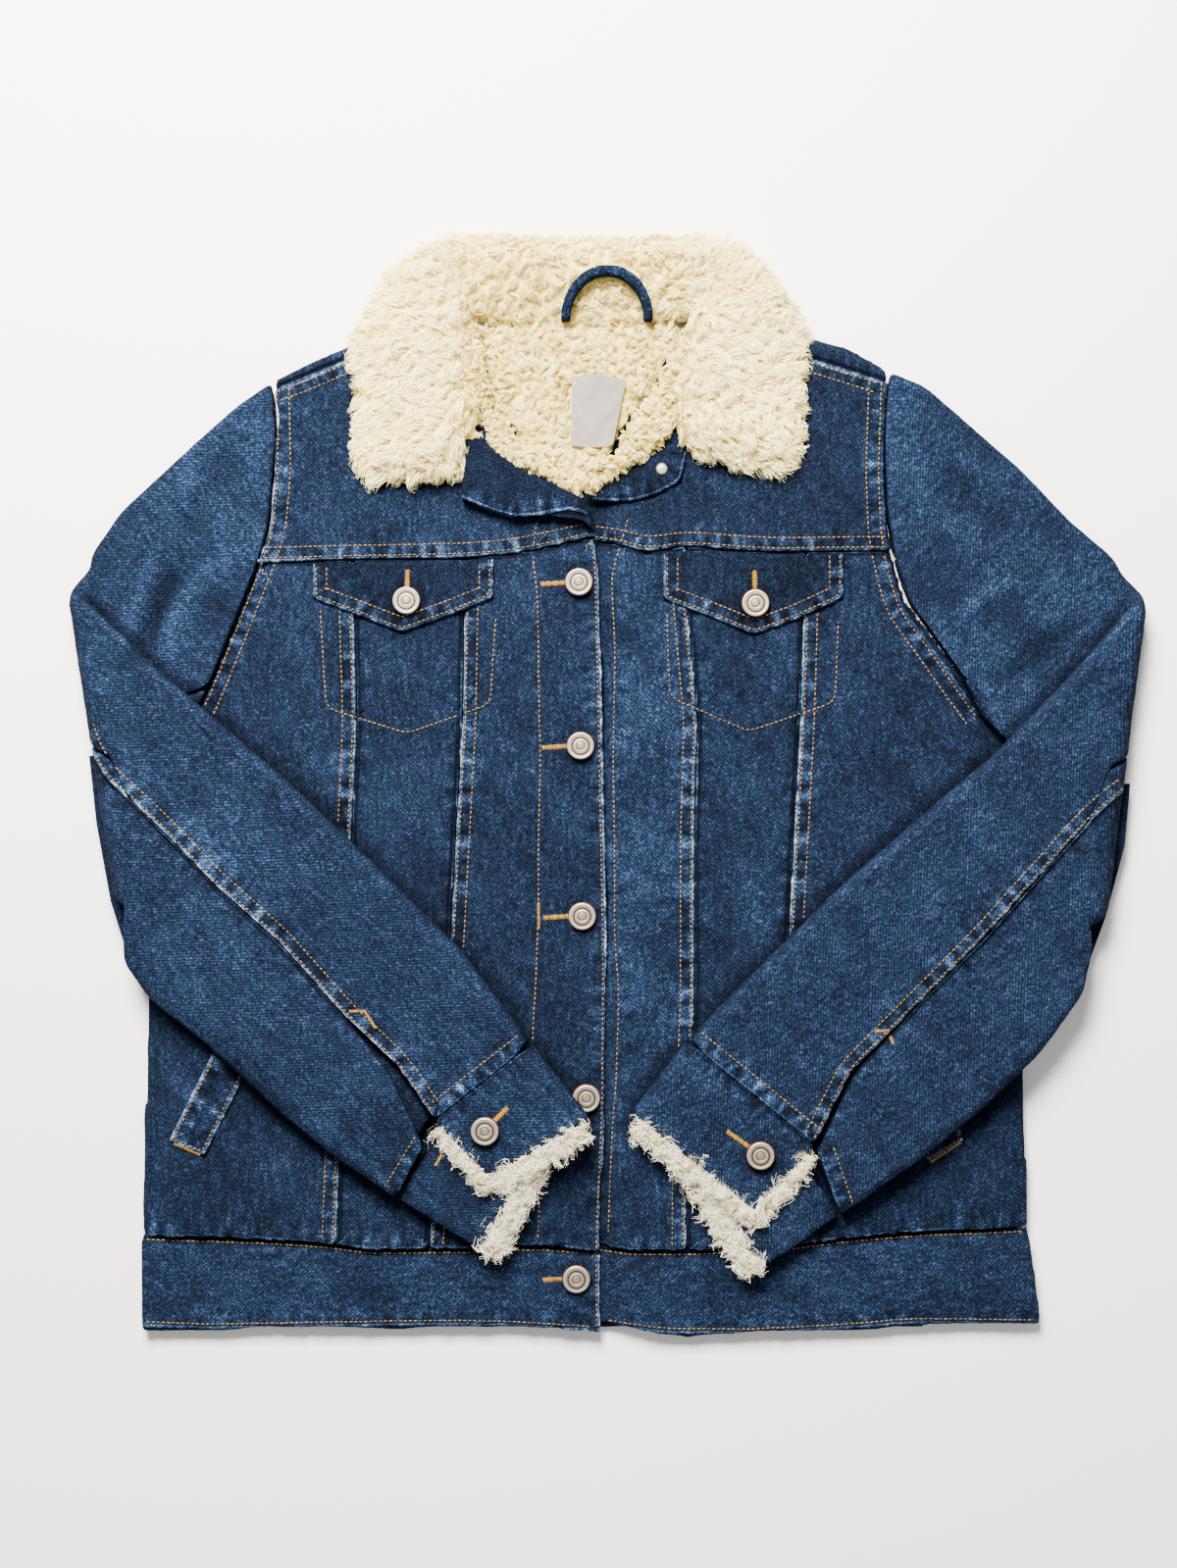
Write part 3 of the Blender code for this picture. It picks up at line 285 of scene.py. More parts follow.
def jacket_seams():
    def seam(node, others, side, by="y", **more):
        return Seam(shared_edge(node, others, by=by), side, (node, *others), **more)

    low = {"rows": (-2.8,), "ridge": 0.8, "band": 0.5, "pucker": 0.9}
    edge = {"rows": (2.6,), "band": 0.5}
    cuff = {"rows": (9.5,), "ridge": 0.5, "band": 1.3, "pucker": 0.3}
    return {
        "outer_r": seam("centre_front_r", ("side_front_r",), 1),
        "inner_r": seam("centre_front_r", ("inner_front_r",), -1),
        "inner_l": seam("centre_front_l", ("inner_front_l",), 1),
        "outer_l": seam("centre_front_l", ("side_front_l",), -1),
        "yoke_r": seam("yoke_front_r", BODY_R, 1, by="x"),
        "yoke_l": seam("yoke_front_l", BODY_L, 1, by="x"),
        "waist_r": seam("waistband_r", BODY_R, 1, by="x", **low),
        "waist_l": seam("waistband_l", BODY_L, 1, by="x", **low),
        "shoulder_r": Seam(SHOULDER_R, -1, ("yoke_front_r", "back_panel"), rows=(2.4, 8)),
        "shoulder_l": Seam(SHOULDER_L, -1, ("yoke_front_l", "back_panel"), rows=(2.4, 8)),
        "armhole_r": Seam(ARMHOLE_R, 1, FRONTS_R, rows=(3, 10.5)),
        "armhole_l": Seam(ARMHOLE_L, -1, FRONTS_L, rows=(3, 10.5), ridge=0.45),
        "sleeve_r": Seam(SLEEVE_R, 1, ("sleeve_top_r", "sleeve_under_r"), rows=(2.4, 8.4)),
        "sleeve_l": Seam(SLEEVE_L, -1, ("sleeve_top_l", "sleeve_under_l"), rows=(2.4, 8.4)),
        "cuff_r": Seam(CUFF_SEAM_R, -1, ("sleeve_top_r", "sleeve_under_r", "cuff_r"), **cuff),
        "cuff_low_r": Seam(CUFF_SEAM_LOW_R, -1, ("sleeve_top_r", "sleeve_under_r", "cuff_r"), **cuff),
        "cuff_l": Seam(CUFF_SEAM_L, 1, ("sleeve_top_l", "sleeve_under_l", "cuff_l"), **cuff),
        "cuff_low_l": Seam(CUFF_SEAM_LOW_L, 1, ("sleeve_top_l", "sleeve_under_l", "cuff_l"), **cuff),
        "edge_r": Seam(FRONT_EDGE, -1, ("inner_front_r", "yoke_front_r", "waistband_r"), **edge),
        "placket_r": Seam(PLACKET_R, -1, ("inner_front_r", "yoke_front_r"), rows=(0,), ridge=0, band=0.2),
        "placket_l": Seam(PLACKET_L, 1, ("inner_front_l", "yoke_front_l"), rows=(0,), ridge=0, band=0.3),
        "pocket_r": Seam(POCKET_R, 1, BODY_R, rows=(0,), ridge=0, band=0.2, step=2.0, pucker=0.2),
        "pocket_l": Seam(POCKET_L, 1, BODY_L, rows=(0,), ridge=0, band=0.2, step=2.0, pucker=0.2),
        "flap_r": Seam(FLAP_R, 1, ("pocket_flap_r",), rows=(2.4, 8.6), step=1.5),
        "flap_l": Seam(FLAP_L, 1, ("pocket_flap_l",), rows=(2.4, 8.6), step=1.5),
        "welt_r": Seam((*WELT_R, WELT_R[0]), 1, ("welt_r",), rows=(2.5,), step=1.5),
        "welt_l": Seam((*WELT_L, WELT_L[0]), 1, ("welt_l",), rows=(2.5,), step=1.5),
        "lapel_r": Seam(LAPEL_LOW_R, 1, ("lapel_r",), rows=(), step=2.0),
        "lapel_l": Seam(LAPEL_LOW_L, -1, ("lapel_l",), rows=(), step=2.0),
        "hem_r": Seam(HEM_R, 1, ("waistband_r",), rows=(3.4,), ridge=0.6, band=0.4),
        "hem_l": Seam(HEM_L, 1, ("waistband_l",), rows=(3.4,), ridge=0.6, band=0.4),
    }


SEAMS = jacket_seams()

# Denim ------------------------------------------------------------------------------------------------------

# Stone washed indigo denim, about 400 g/m2, a right hand twill over a bonded lining. White weft shows between the
# blue warp as fine flecks, the dye is uneven over a few centimetres, and the edges and puckers that stand up are
# worn pale while the hollows beside them stay dark. The crests of the drape folds and creases are painted paler and
# their troughs darker, as painted light and shade. The real twill line is 0.7 mm apart and is drawn at 2 mm,
# so that it shows.
WASH = ((0.0, "#030408"), (0.22, "#070C17"), (0.46, "#111B2C"), (0.64, "#243652"), (0.82, "#465F7A"), (1.0, "#93A5B7"))
TWILL_PITCH, FLECK, SLUB, CLOUD, ROPE = 2.0, 0.7, 1.6, 24.0, 3.2


def band_of(tree, value, low, high, soft):
    """1 where a value lies between two limits, with soft ends."""
    up = add(tree, "ShaderNodeMapRange", {"Value": value, "From Min": low - soft, "From Max": low + soft},
             interpolation_type="SMOOTHSTEP").outputs["Result"]
    down = add(tree, "ShaderNodeMapRange", {"Value": value, "From Min": high + soft, "From Max": high - soft},
               interpolation_type="SMOOTHSTEP").outputs["Result"]
    return product(tree, up, down)


def maths(tree, operation, *values):
    return add(tree, "ShaderNodeMath", dict(enumerate(values)), operation=operation).outputs["Value"]


def product(tree, *values):
    total = values[0]
    for value in values[1:]:
        total = maths(tree, "MULTIPLY", total, value)
    return total


def total_of(tree, *values):
    total = values[0]
    for value in values[1:]:
        total = maths(tree, "ADD", total, value)
    return total


def noise(tree, vector, size, detail=2.0, roughness=0.5):
    """Noise from 0 to 1 with features about this size, on coordinates in mm."""
    return add(tree, "ShaderNodeTexNoise",
               {"Vector": vector, "Scale": 0.5 / size, "Detail": detail, "Roughness": roughness}).outputs["Fac"]


def washed_denim(name, shade):
    """The denim of one panel. shade moves it up or down the wash."""
    material, tree, shader = new_material(name, Roughness=0.95)
    shader.inputs["Specular IOR Level"].default_value = 0.03
    place = add(tree, "ShaderNodeTexCoord").outputs["Object"]
    place = add(tree, "ShaderNodeVectorMath", {0: place, 1: (1000, 1000, 1000)}, operation="MULTIPLY").outputs["Vector"]
    cloth = add(tree, "ShaderNodeAttribute", attribute_name="cloth").outputs["Vector"]
    seam = add(tree, "ShaderNodeAttribute", attribute_name="seam").outputs["Vector"]
    extra = add(tree, "ShaderNodeAttribute", attribute_name="finish").outputs["Vector"]
    seam_parts = add(tree, "ShaderNodeSeparateXYZ", {"Vector": seam}).outputs
    finish_parts = add(tree, "ShaderNodeSeparateXYZ", {"Vector": extra}).outputs
    # Painted contact shade beside and under higher pieces, which darkens the wash.
    contact_shade = add(tree, "ShaderNodeAttribute", attribute_name="contact_shade").outputs["Fac"]
    # The finish's third share is real wash wear on the seam puckers, and painted light and shade on the drape folds and
    # creases.
    across, ridge_share, band_share, wear_and_fold_shade = seam_parts["X"], finish_parts["X"], finish_parts["Y"], finish_parts["Z"]

    clouds = noise(tree, place, CLOUD, 3.0, 0.55)
    stretched = add(tree, "ShaderNodeVectorMath", {0: cloth, 1: (1, 0.3, 1)}, operation="MULTIPLY").outputs["Vector"]
    slubs = noise(tree, stretched, SLUB, 2.0, 0.6)
    flecks = noise(tree, place, FLECK, 2.0, 0.7)
    twill = add(tree, "ShaderNodeTexWave",
                {"Vector": cloth, "Scale": 0.5 / TWILL_PITCH, "Distortion": 1.2, "Detail": 1.0, "Detail Scale": 0.6},
                bands_direction="DIAGONAL").outputs["Fac"]

    # Roping: where the doubled cloth of a seam has shrunk on its thread, short hollows and pale bumps alternate.
    rope_place = add(tree, "ShaderNodeVectorMath", {0: seam, 1: (0.3, 1, 0)}, operation="MULTIPLY").outputs["Vector"]
    ropes = noise(tree, rope_place, ROPE, 1.0, 0.4)
    ropes = maths(tree, "MULTIPLY_ADD", ropes, 3.2, -1.6)
    beside = band_of(tree, across, 2.0, 9.0, 1.2)
    past = band_of(tree, across, 9.0, 16.0, 4.0)
    before = band_of(tree, across, -8.0, -0.5, 2.5)
    lip = band_of(tree, across, -0.4, 1.8, 0.5)
    valley = band_of(tree, across, -2.6, -0.2, 0.8)
    rope_area = total_of(tree, beside, product(tree, past, 0.35), product(tree, before, 0.4))
    roping = product(tree, rope_area, band_share, ropes)
    lip_wear = product(tree, lip, ridge_share, add(tree, "ShaderNodeMapRange", {
        "Value": ropes, "From Min": -1.4, "From Max": 0.8, "To Min": 0.1, "To Max": 1.0}).outputs["Result"])
    hollow = product(tree, valley, ridge_share)

    grain = total_of(
        tree,
        maths(tree, "MULTIPLY_ADD", flecks, 1.1, -0.55),
        maths(tree, "MULTIPLY_ADD", slubs, 0.34, -0.17),
        maths(tree, "MULTIPLY_ADD", clouds, 0.16, -0.08),
        maths(tree, "MULTIPLY_ADD", twill, 0.12, -0.06),
    )
    depth = total_of(tree, grain, 0.365 + shade, product(tree, contact_shade, -0.2), product(tree, wear_and_fold_shade, 0.12),
                     product(tree, roping, 0.38),
                     product(tree, lip_wear, 0.56), product(tree, hollow, -0.2))
    colours = ramp(tree, depth, WASH)
    tree.links.new(colours, shader.inputs["Base Color"])

    height = total_of(tree, product(tree, twill, 0.1), product(tree, flecks, 0.18), product(tree, slubs, 0.12),
                      product(tree, roping, 0.35), product(tree, lip, ridge_share, 0.5),
                      product(tree, hollow, -0.5))
    bump = add(tree, "ShaderNodeBump", {"Height": height, "Distance": MM, "Strength": 0.9})
    tree.links.new(bump.outputs["Normal"], shader.inputs["Normal"])
    return material


DENIM = {
    "plain": washed_denim("washed_denim", 0.0),
    "light": washed_denim("washed_denim_light", 0.05),
    "dark": washed_denim("washed_denim_dark", -0.04),
    "navy": washed_denim("washed_denim_navy", -0.1),
}


def remade(name, voxel):
    """A CAD node's shape as an even, fine mesh with rounded edges."""
    mesh = NODES[name].data.copy()
    shape = bmesh.new()
    shape.from_mesh(mesh)
    if name in PRISMS:
        shape.from_mesh(prism(*PRISMS[name]))
    bmesh.ops.remove_doubles(shape, verts=shape.verts, dist=0.01 * MM)
    shape.to_mesh(mesh)
    shape.free()
    helper = bpy.data.objects.new("helper", mesh)
    bpy.context.scene.collection.objects.link(helper)
    remesh = helper.modifiers.new("remesh", "REMESH")
    remesh.mode, remesh.voxel_size, remesh.use_smooth_shade = "VOXEL", voxel * MM, True
    graph = bpy.context.evaluated_depsgraph_get()
    made = bpy.data.meshes.new_from_object(helper.evaluated_get(graph))
    bpy.data.objects.remove(helper)
    return made


def divided(name, longest, rounds=8, rounding=3):
    """A CAD node's own shape, with its long edges divided and rounded, for a piece whose narrow gaps must stay."""
    mesh = NODES[name].data.copy()
    shape = bmesh.new()
    shape.from_mesh(mesh)
    bmesh.ops.remove_doubles(shape, verts=shape.verts, dist=0.01 * MM)
    for _ in range(rounds):
        long = [edge for edge in shape.edges if edge.calc_length() > longest * MM]
        if not long:
            break
        bmesh.ops.subdivide_edges(shape, edges=long, cuts=1, use_grid_fill=True)
        bmesh.ops.triangulate(shape, faces=[face for face in shape.faces if len(face.verts) > 3])
    for _ in range(rounding):
        bmesh.ops.smooth_vert(shape, verts=shape.verts, factor=0.5, use_axis_x=True, use_axis_y=True, use_axis_z=True)
    for face in shape.faces:
        face.smooth = True
    shape.to_mesh(mesh)
    shape.free()
    return mesh


def normals_of(mesh):
    values = np.empty(len(mesh.vertices) * 3)
    mesh.vertices.foreach_get("normal", values)
    return values.reshape(-1, 3)


def put_coordinates(mesh, points):
    mesh.vertices.foreach_set("co", points.ravel())
    mesh.update()


def attribute(mesh, name, values):
    made = mesh.attributes.new(name, "FLOAT_VECTOR", "POINT")
    made.data.foreach_set("vector", np.ascontiguousarray(values, dtype=float).ravel())


def dress(name, mesh, grain=0.0, relief=1.0, lift=0.0):
    """Gives a denim skin its puckers, creases and the attributes that its material reads. grain turns the cloth."""
    points = coordinates(mesh) / MM
    normals = normals_of(mesh)
    best = np.full(len(points), 1e9)
    seam_place, share = np.zeros((len(points), 3)), np.zeros((len(points), 3))
    rise = np.zeros(len(points))
    for number, seam in enumerate(SEAMS.values()):
        if name not in seam.nodes:
            continue
        signed, along, beside = distances(points, seam.line)
        across = signed * seam.side
        far = np.abs(across)
        fade = np.where(beside, 1.0, np.clip(1 - (far - 2) / 5, 0, 1)) * smooth(points[:, 2], -50, -40)
        nearer = far < best
        best[nearer] = far[nearer]
        seam_place[nearer] = np.stack([across, along, np.full(len(points), number * 17.0)], axis=1)[nearer]
        share[nearer] = np.stack([seam.ridge * fade, seam.band * fade, rise * 0], axis=1)[nearer]
        puckers = waves(np.stack([along, across * 0.35], axis=1), 8.0, SEED + number, 2)
        reach = np.exp(-np.abs(across - 3) / 9) * fade
        rise += seam.pucker * 1.6 * puckers * reach
        if seam.ridge:
            crest, trough = np.exp(-((across - 2) / 3) ** 2), np.exp(-((across + 1.5) / 3) ** 2)
            rise += fade * seam.ridge * (0.5 * crest - 0.9 * trough)
    folds = 0.7 * waves(points, 85.0, SEED + 3) + 0.35 * waves(points, 28.0, SEED + 4)
    for line, width, depth, nodes in CREASES:
        if name in nodes:
            signed, along, _ = distances(points, np.array(line, float))
            length = np.hypot(*np.diff(np.array(line, float), axis=0).T).sum()
            ends = smooth(along, -1, 0.25 * length) * (1 - smooth(along, 0.75 * length, length + 1))
            beside_fold = np.exp(-((np.abs(signed) - 1.7 * width) / width) ** 2)
            folds += depth * ends * (np.exp(-(signed / width) ** 2) - 0.5 * beside_fold)
    up = np.clip(normals[:, 2] * 1.5, 0, 1)
    # Paler on raised folds and puckers and darker in their troughs: real wash wear on the seam puckers, and painted
    # light and shade on the drape folds and creases.
    share[:, 2] = np.clip(0.5 * folds + 0.5 * rise, -1, 1) * up
    moved = points + normals * ((rise + folds * relief) * up)[:, None]
    under = np.clip(-normals[:, 2] * 1.5, 0, 1)
    moved[:, 2] += under * 0.5 * (1 + waves(points, 40.0, SEED + 9)) * relief + lift
    moved[:, 2] = np.maximum(moved[:, 2], 0.0)
    put_coordinates(mesh, moved * MM)
    turn = math.radians(grain)
    cloth = np.stack([points[:, 0] * math.cos(turn) + points[:, 1] * math.sin(turn),
                      points[:, 1] * math.cos(turn) - points[:, 0] * math.sin(turn), points[:, 2]], axis=1)
    attribute(mesh, "cloth", cloth)
    attribute(mesh, "seam", seam_place)
    attribute(mesh, "finish", share)


def prism(outline, low, high):
    """A closed flat solid over an outline, between two heights, in mm."""
    shape = bmesh.new()
    face = shape.faces.new([shape.verts.new(Vector((x, y, low)) * MM) for x, y in outline])
    made = bmesh.ops.extrude_face_region(shape, geom=[face])["geom"]
    for vertex in (item for item in made if isinstance(item, bmesh.types.BMVert)):
        vertex.co.z = high * MM
    bmesh.ops.recalc_face_normals(shape, faces=shape.faces)
    mesh = bpy.data.meshes.new("prism")
    shape.to_mesh(mesh)
    shape.free()
    return mesh


def inside(points, outline):
    """Which points lie inside an outline, seen from above."""
    found = np.zeros(len(points), bool)
    for (x1, y1), (x2, y2) in zip(outline, (*outline[1:], outline[0])):
        spans = (points[:, 1] < y1) != (points[:, 1] < y2)
        found ^= spans & (points[:, 0] < (x2 - x1) * (points[:, 1] - y1) / (y2 - y1 + 1e-9) + x1)
    return found


# The turned-back right lapel, from its button end to the front edge.
LAPEL_R = ((-75.7, 211.3), (-64.2, 200.9), (-49.6, 190.6), (-32.4, 183.7), (-17, 176), (-10.5, 169.1), (-9.3, 156.8),
           (-15.1, 161.4), (-34.3, 164), (-53.5, 163), (-66.9, 167.2), (-87.5, 173.5), (-87.5, 183.7), (-85.5, 197.1),
           (-86.5, 210.5))
# Cloth of the layers below that shows between the pieces: outline and heights.
BEDS = {
    "underarm_l": (((214, 66), (222, 70), (236, 50), (250, 34), (246, 18), (226, 14), (216, 40)), 1.0, 2.2),
    "elbow_r": (((-314, 20), (-309.6, -21), (-301, -68), (-289, -106), (-274.6, -123), (-262, -115), (-275, -60),
                 (-290, 0), (-302, 20)), 1.0, 12.0),
    "elbow_l": (((317, 3), (313.6, -35), (302, -78), (291, -108), (280.5, -132), (265, -150), (255, -138),
                 (278, -80), (298, -10), (305, 3)), 1.0, 12.0),
}
PRISMS = {"lapel_r": (LAPEL_R, 14.5, 21.0)}


# Folds and creases: their line, half width, how far they rise (or sink) and the pieces they cross, in mm.
SLEEVES_R, SLEEVES_L = ("sleeve_top_r", "sleeve_under_r"), ("sleeve_top_l", "sleeve_under_l")
CREASES = (
    (((-282, 76), (-273, 108), (-260, 138)), 7, -2.6, SLEEVES_R),
    (((-266, 90), (-243, 129), (-220, 150)), 9, 1.4, SLEEVES_R),
    (((-262, 150), (-240, 180), (-225, 215)), 10, -1.2, SLEEVES_R),
    (((217, 62), (224, 42), (234, 20)), 6, -2.6, SLEEVES_L),
    (((210, 98), (228, 118), (250, 128)), 6, 1.2, SLEEVES_L),
    (((240, 60), (262, 84), (290, 100)), 8, -1.4, SLEEVES_L),
    (((200, 190), (225, 175), (250, 150)), 11, -1.2, SLEEVES_L),
    (((-130, -20), (-100, -60), (-90, -100)), 10, -0.9, BODY_R),
    (((60, -20), (75, -80), (70, -120)), 10, -0.8, BODY_L),
)

# The denim pieces: voxel (or longest edge), the turn of the grain, and which wash.
DENIM_PIECES = {
    "back_panel": (4.0, 0, "plain"), "waistband_back": (4.0, 90, "plain"),
    "yoke_front_r": (2.6, 0, "plain"), "yoke_front_l": (2.6, 0, "dark"),
    "side_front_r": (2.6, 0, "plain"), "side_front_l": (2.6, 0, "plain"),
    "centre_front_r": (2.6, 0, "plain"), "centre_front_l": (2.6, 0, "plain"),
    "inner_front_r": (2.6, 0, "plain"), "inner_front_l": (2.6, 0, "light"),
    "waistband_r": (2.4, 90, "light"), "waistband_l": (2.4, 90, "light"),
    "pocket_flap_r": (1.1, 0, "navy"), "pocket_flap_l": (1.1, 0, "navy"),
    "welt_r": (1.0, 30, "plain"), "welt_l": (1.0, -30, "plain"),
    "lapel_r": (1.1, 60, "navy"), "lapel_l": (1.1, -60, "navy"), "hanger_loop": (1.0, 0, "plain"),
}
FOLDED_PIECES = {
    "sleeve_top_r": (4.6, 47, "light"), "sleeve_under_r": (4.0, 47, "light"),
    "sleeve_top_l": (4.6, -47, "light"), "sleeve_under_l": (4.0, -47, "light"),
    "cuff_r": (2.5, 47, "light"), "cuff_l": (2.5, -47, "light"),
}


SKINS = {}
for name, (size, grain, wash) in {**DENIM_PIECES, **FOLDED_PIECES}.items():
    mesh = divided(name, size) if name in FOLDED_PIECES else remade(name, size)
    dress(name, mesh, grain, relief=0.4 if size < 1.5 else 1.0)
    if name == "hanger_loop":
        put_coordinates(mesh, coordinates(mesh) + 0.9 * MM * normals_of(mesh))
    SKINS[name] = piece_from(f"denim_{name}", mesh, DENIM[wash], "denim", name)
for name, (outline, low, high) in BEDS.items():
    BEDS[name] = piece_from(f"denim_{name}", prism(outline, low, high), DENIM["plain"], "denim")

# Painted contact shade: the denim is darkened where a higher piece lies beside or over it, for the shadow there; that
# share, by the heights around.
REACH, CELL = 8, 2.0
COVER = tree_of(NODES.values())
GRID = np.array([[(COVER.ray_cast(Vector((x, y, 60)) * MM, Vector((0, 0, -1)))[0] or Vector()).z / MM
                  for y in np.arange(-344, 345, CELL)] for x in np.arange(-344, 345, CELL)])
for piece in SKINS.values():
    points = coordinates(piece.data) / MM
    share = np.zeros(len(points))
    for dx in range(-4, 5):
        for dy in range(-4, 5):
            away = CELL * math.hypot(dx, dy)
            if away > REACH:
                continue
            columns, rows = (np.rint((points[:, :2] + 344) / CELL).astype(int) + (dx, dy)).T
            above = GRID[np.clip(columns, 0, len(GRID) - 1), np.clip(rows, 0, len(GRID) - 1)] - points[:, 2]
            share = np.maximum(share, np.clip((above - 1.5) / 5, 0, 1) * (1 - away / (REACH + 1)))
    piece.data.attributes.new("contact_shade", "FLOAT", "POINT").data.foreach_set("value", share)

# Sherpa -----------------------------------------------------------------------------------------------------

# Polyester sherpa: a knitted ground whose pile is brushed up and tumbled, so that it gathers into curled locks.
# The strands' roots and the gaps between the locks are painted a warmer, deeper cream than the tips, as painted shade.
STRAND_PARTS = 5


def sherpa(name, root, middle, tip):
    """Pile fibres: each strand runs from a darker, warmer root, which is painted shade, to a pale tip, and each lock
    has its own tone.
    """
    material, tree, shader = new_material(name, Roughness=0.8, Sheen_Weight=0.25, Sheen_Roughness=0.4)
    shader.inputs["Specular IOR Level"].default_value = 0.2
    strand = add(tree, "ShaderNodeAttribute", attribute_name="strand").outputs["Vector"]
    parts = add(tree, "ShaderNodeSeparateXYZ", {"Vector": strand}).outputs
    place = add(tree, "ShaderNodeTexCoord").outputs["Object"]
    clouds = noise(tree, add(tree, "ShaderNodeVectorMath", {0: place, 1: (1000, 1000, 1000)},
                             operation="MULTIPLY").outputs["Vector"], 14.0, 2.0)
    level = total_of(tree, maths(tree, "MULTIPLY", parts["X"], 0.75), maths(tree, "MULTIPLY", parts["Y"], 0.25),
                     maths(tree, "MULTIPLY_ADD", clouds, 0.3, -0.12))
    colours = ramp(tree, level, ((0.0, root), (0.35, middle), (0.85, tip)))
    tree.links.new(colours, shader.inputs["Base Color"])
    return material


# The lining's pile is a darker, yellower copy of the collar's: painted shade for the low back of the collar and the
# lining inside the neck. Every root colour is painted shade.
SHERPA = {
    "collar": sherpa("brushed_sherpa_pile", "#DEC472", "#F8E99C", "#FEF8C2"),
    "lining": sherpa("shaded_curled_sherpa_pile", "#BDA24C", "#ECDA82", "#F9EEA8"),
    "edge": sherpa("raw_sherpa_edge", "#7D7050", "#D2C7A2", "#FCF6E0"),
}


def strand_shape():
    """One flat strand: columns -1 and 1, rows from 0 at its root to 1 at its tip."""
    shape = bmesh.new()
    bmesh.ops.create_grid(shape, x_segments=1, y_segments=STRAND_PARTS, size=1)
    shape.verts.ensure_lookup_table()
    points = np.array([tuple(vertex.co) for vertex in shape.verts])
    faces = np.array([[vertex.index for vertex in face.verts] for face in shape.faces])
    shape.free()
    return points[:, 0], (points[:, 1] + 1) / 2, faces


def repeated(points, faces, name):
    """One mesh from many copies of a small shape: points are (copies, corners, 3), faces are one copy's."""
    copies, corners = points.shape[:2]
    every = (faces[None] + (np.arange(copies) * corners)[:, None, None]).reshape(-1, faces.shape[1])
    mesh = bpy.data.meshes.new(name)
    mesh.vertices.add(copies * corners)
    mesh.vertices.foreach_set("co", points.ravel())
    mesh.loops.add(every.size)
    mesh.loops.foreach_set("vertex_index", every.ravel())
    mesh.polygons.add(len(every))
    mesh.polygons.foreach_set("loop_start", np.arange(len(every)) * faces.shape[1])
    mesh.polygons.foreach_set("use_smooth", np.ones(len(every), bool))
    mesh.update(calc_edges=True)
    return mesh


def scattered(mesh, count, keep):
    """Random places on a mesh, spread by area over the faces that keep() allows: points and normals, in mm."""
    mesh.calc_loop_triangles()
    corners = np.empty(len(mesh.loop_triangles) * 3, int)
    mesh.loop_triangles.foreach_get("vertices", corners)
    points, normals = coordinates(mesh) / MM, normals_of(mesh)
    triangles = corners.reshape(-1, 3)
    middle = points[triangles].mean(axis=1)
    facing = normals[triangles].mean(axis=1)
    areas = np.linalg.norm(np.cross(points[triangles[:, 1]] - points[triangles[:, 0]],
                                    points[triangles[:, 2]] - points[triangles[:, 0]]), axis=1)
    areas = areas * keep(middle, facing)
    chosen = random.choice(len(triangles), count, p=areas / areas.sum())
    first, second = np.sqrt(random.random(count)), random.random(count)
    weights = np.stack([1 - first, first * (1 - second), first * second], axis=1)[:, :, None]
    return (points[triangles[chosen]] * weights).sum(axis=1), (normals[triangles[chosen]] * weights).sum(axis=1)


def pile(name, mesh, kind, count, length, lift, curl, comb, keep=lambda middle, facing: facing[:, 2] > -0.15,
         width=0.5, gather=0.8, clump_share=20):
    """Curled locks on a mesh. The strands near each other bend to the tip of one lock, and comb() says which way."""
    roots, normals = scattered(mesh, count, keep)
    lock_count = int(count / clump_share)
    centres, centre_normals = roots[:lock_count], normals[:lock_count]
    nearest = np.empty(count, int)
    for start in range(0, count, 2000):
        block = roots[start:start + 2000]
        nearest[start:start + 2000] = ((block[:, None] - centres[None]) ** 2).sum(axis=2).argmin(axis=1)
    along = comb(centres)
    along += random.normal(0, 0.35, along.shape) * [1, 1, 0]
    along -= centre_normals * (along * centre_normals).sum(axis=1)[:, None]
    along /= np.linalg.norm(along, axis=1)[:, None] + 1e-9
    sideways = np.cross(centre_normals, along)
    turn = random.normal(0, 0.9, lock_count) * curl
    size = random.uniform(0.7, 1.25, lock_count)

    column, share, faces = strand_shape()
    corners = len(column)
    lock_of = nearest
    own = random.uniform(0.75, 1.2, count)[:, None]
    loose = np.where(random.random(count) < 0.1, 0.25, 1.0)[:, None] * gather
    time = share[None]
    bend = turn[lock_of][:, None] * time
    reach = (length * size[lock_of])[:, None] * own * time
    forward = reach * np.cos(bend)
    aside = reach * np.sin(bend)
    up = (lift * size[lock_of])[:, None] * own * np.sin(np.pi * 0.72 * time)
    to_centre = (centres[lock_of] - roots)[:, None] * (loose * time ** 0.8)[:, :, None]
    phase = random.uniform(0, math.tau, count)[:, None]
    wave = curl * 0.9 * np.sin(phase + time * random.uniform(4, 8, count)[:, None]) * time
    wave_up = curl * 0.6 * np.cos(phase + time * 6) * time
    directions = along[lock_of][:, None], sideways[lock_of][:, None], normals[:, None]
    centre_line = (roots[:, None] + to_centre + directions[0] * forward[:, :, None]
                   + directions[1] * (aside + wave)[:, :, None] + directions[2] * (up + wave_up)[:, :, None])
    twist = random.uniform(-0.9, 0.9, count)[:, None, None]
    across = directions[1] * np.cos(twist) + directions[2] * np.sin(twist)
    half = width * (1 - 0.7 * time) * random.uniform(0.7, 1.2, count)[:, None]
    points = centre_line + across * (column[None] * half)[:, :, None]
    points[:, :, 2] = np.maximum(points[:, :, 2], 0.4)
    points[:, :, 2] = np.minimum(points[:, :, 2], 43.5)
    fur = repeated(points * MM, faces, name)
    tones = random.random(lock_count)[lock_of]
    facts = np.stack([np.broadcast_to(time, (count, corners)),
                      np.broadcast_to(tones[:, None], (count, corners)), np.zeros((count, corners))], axis=2)
    attribute(fur, "strand", facts)
    return piece_from(name, fur, SHERPA[kind], "sherpa")


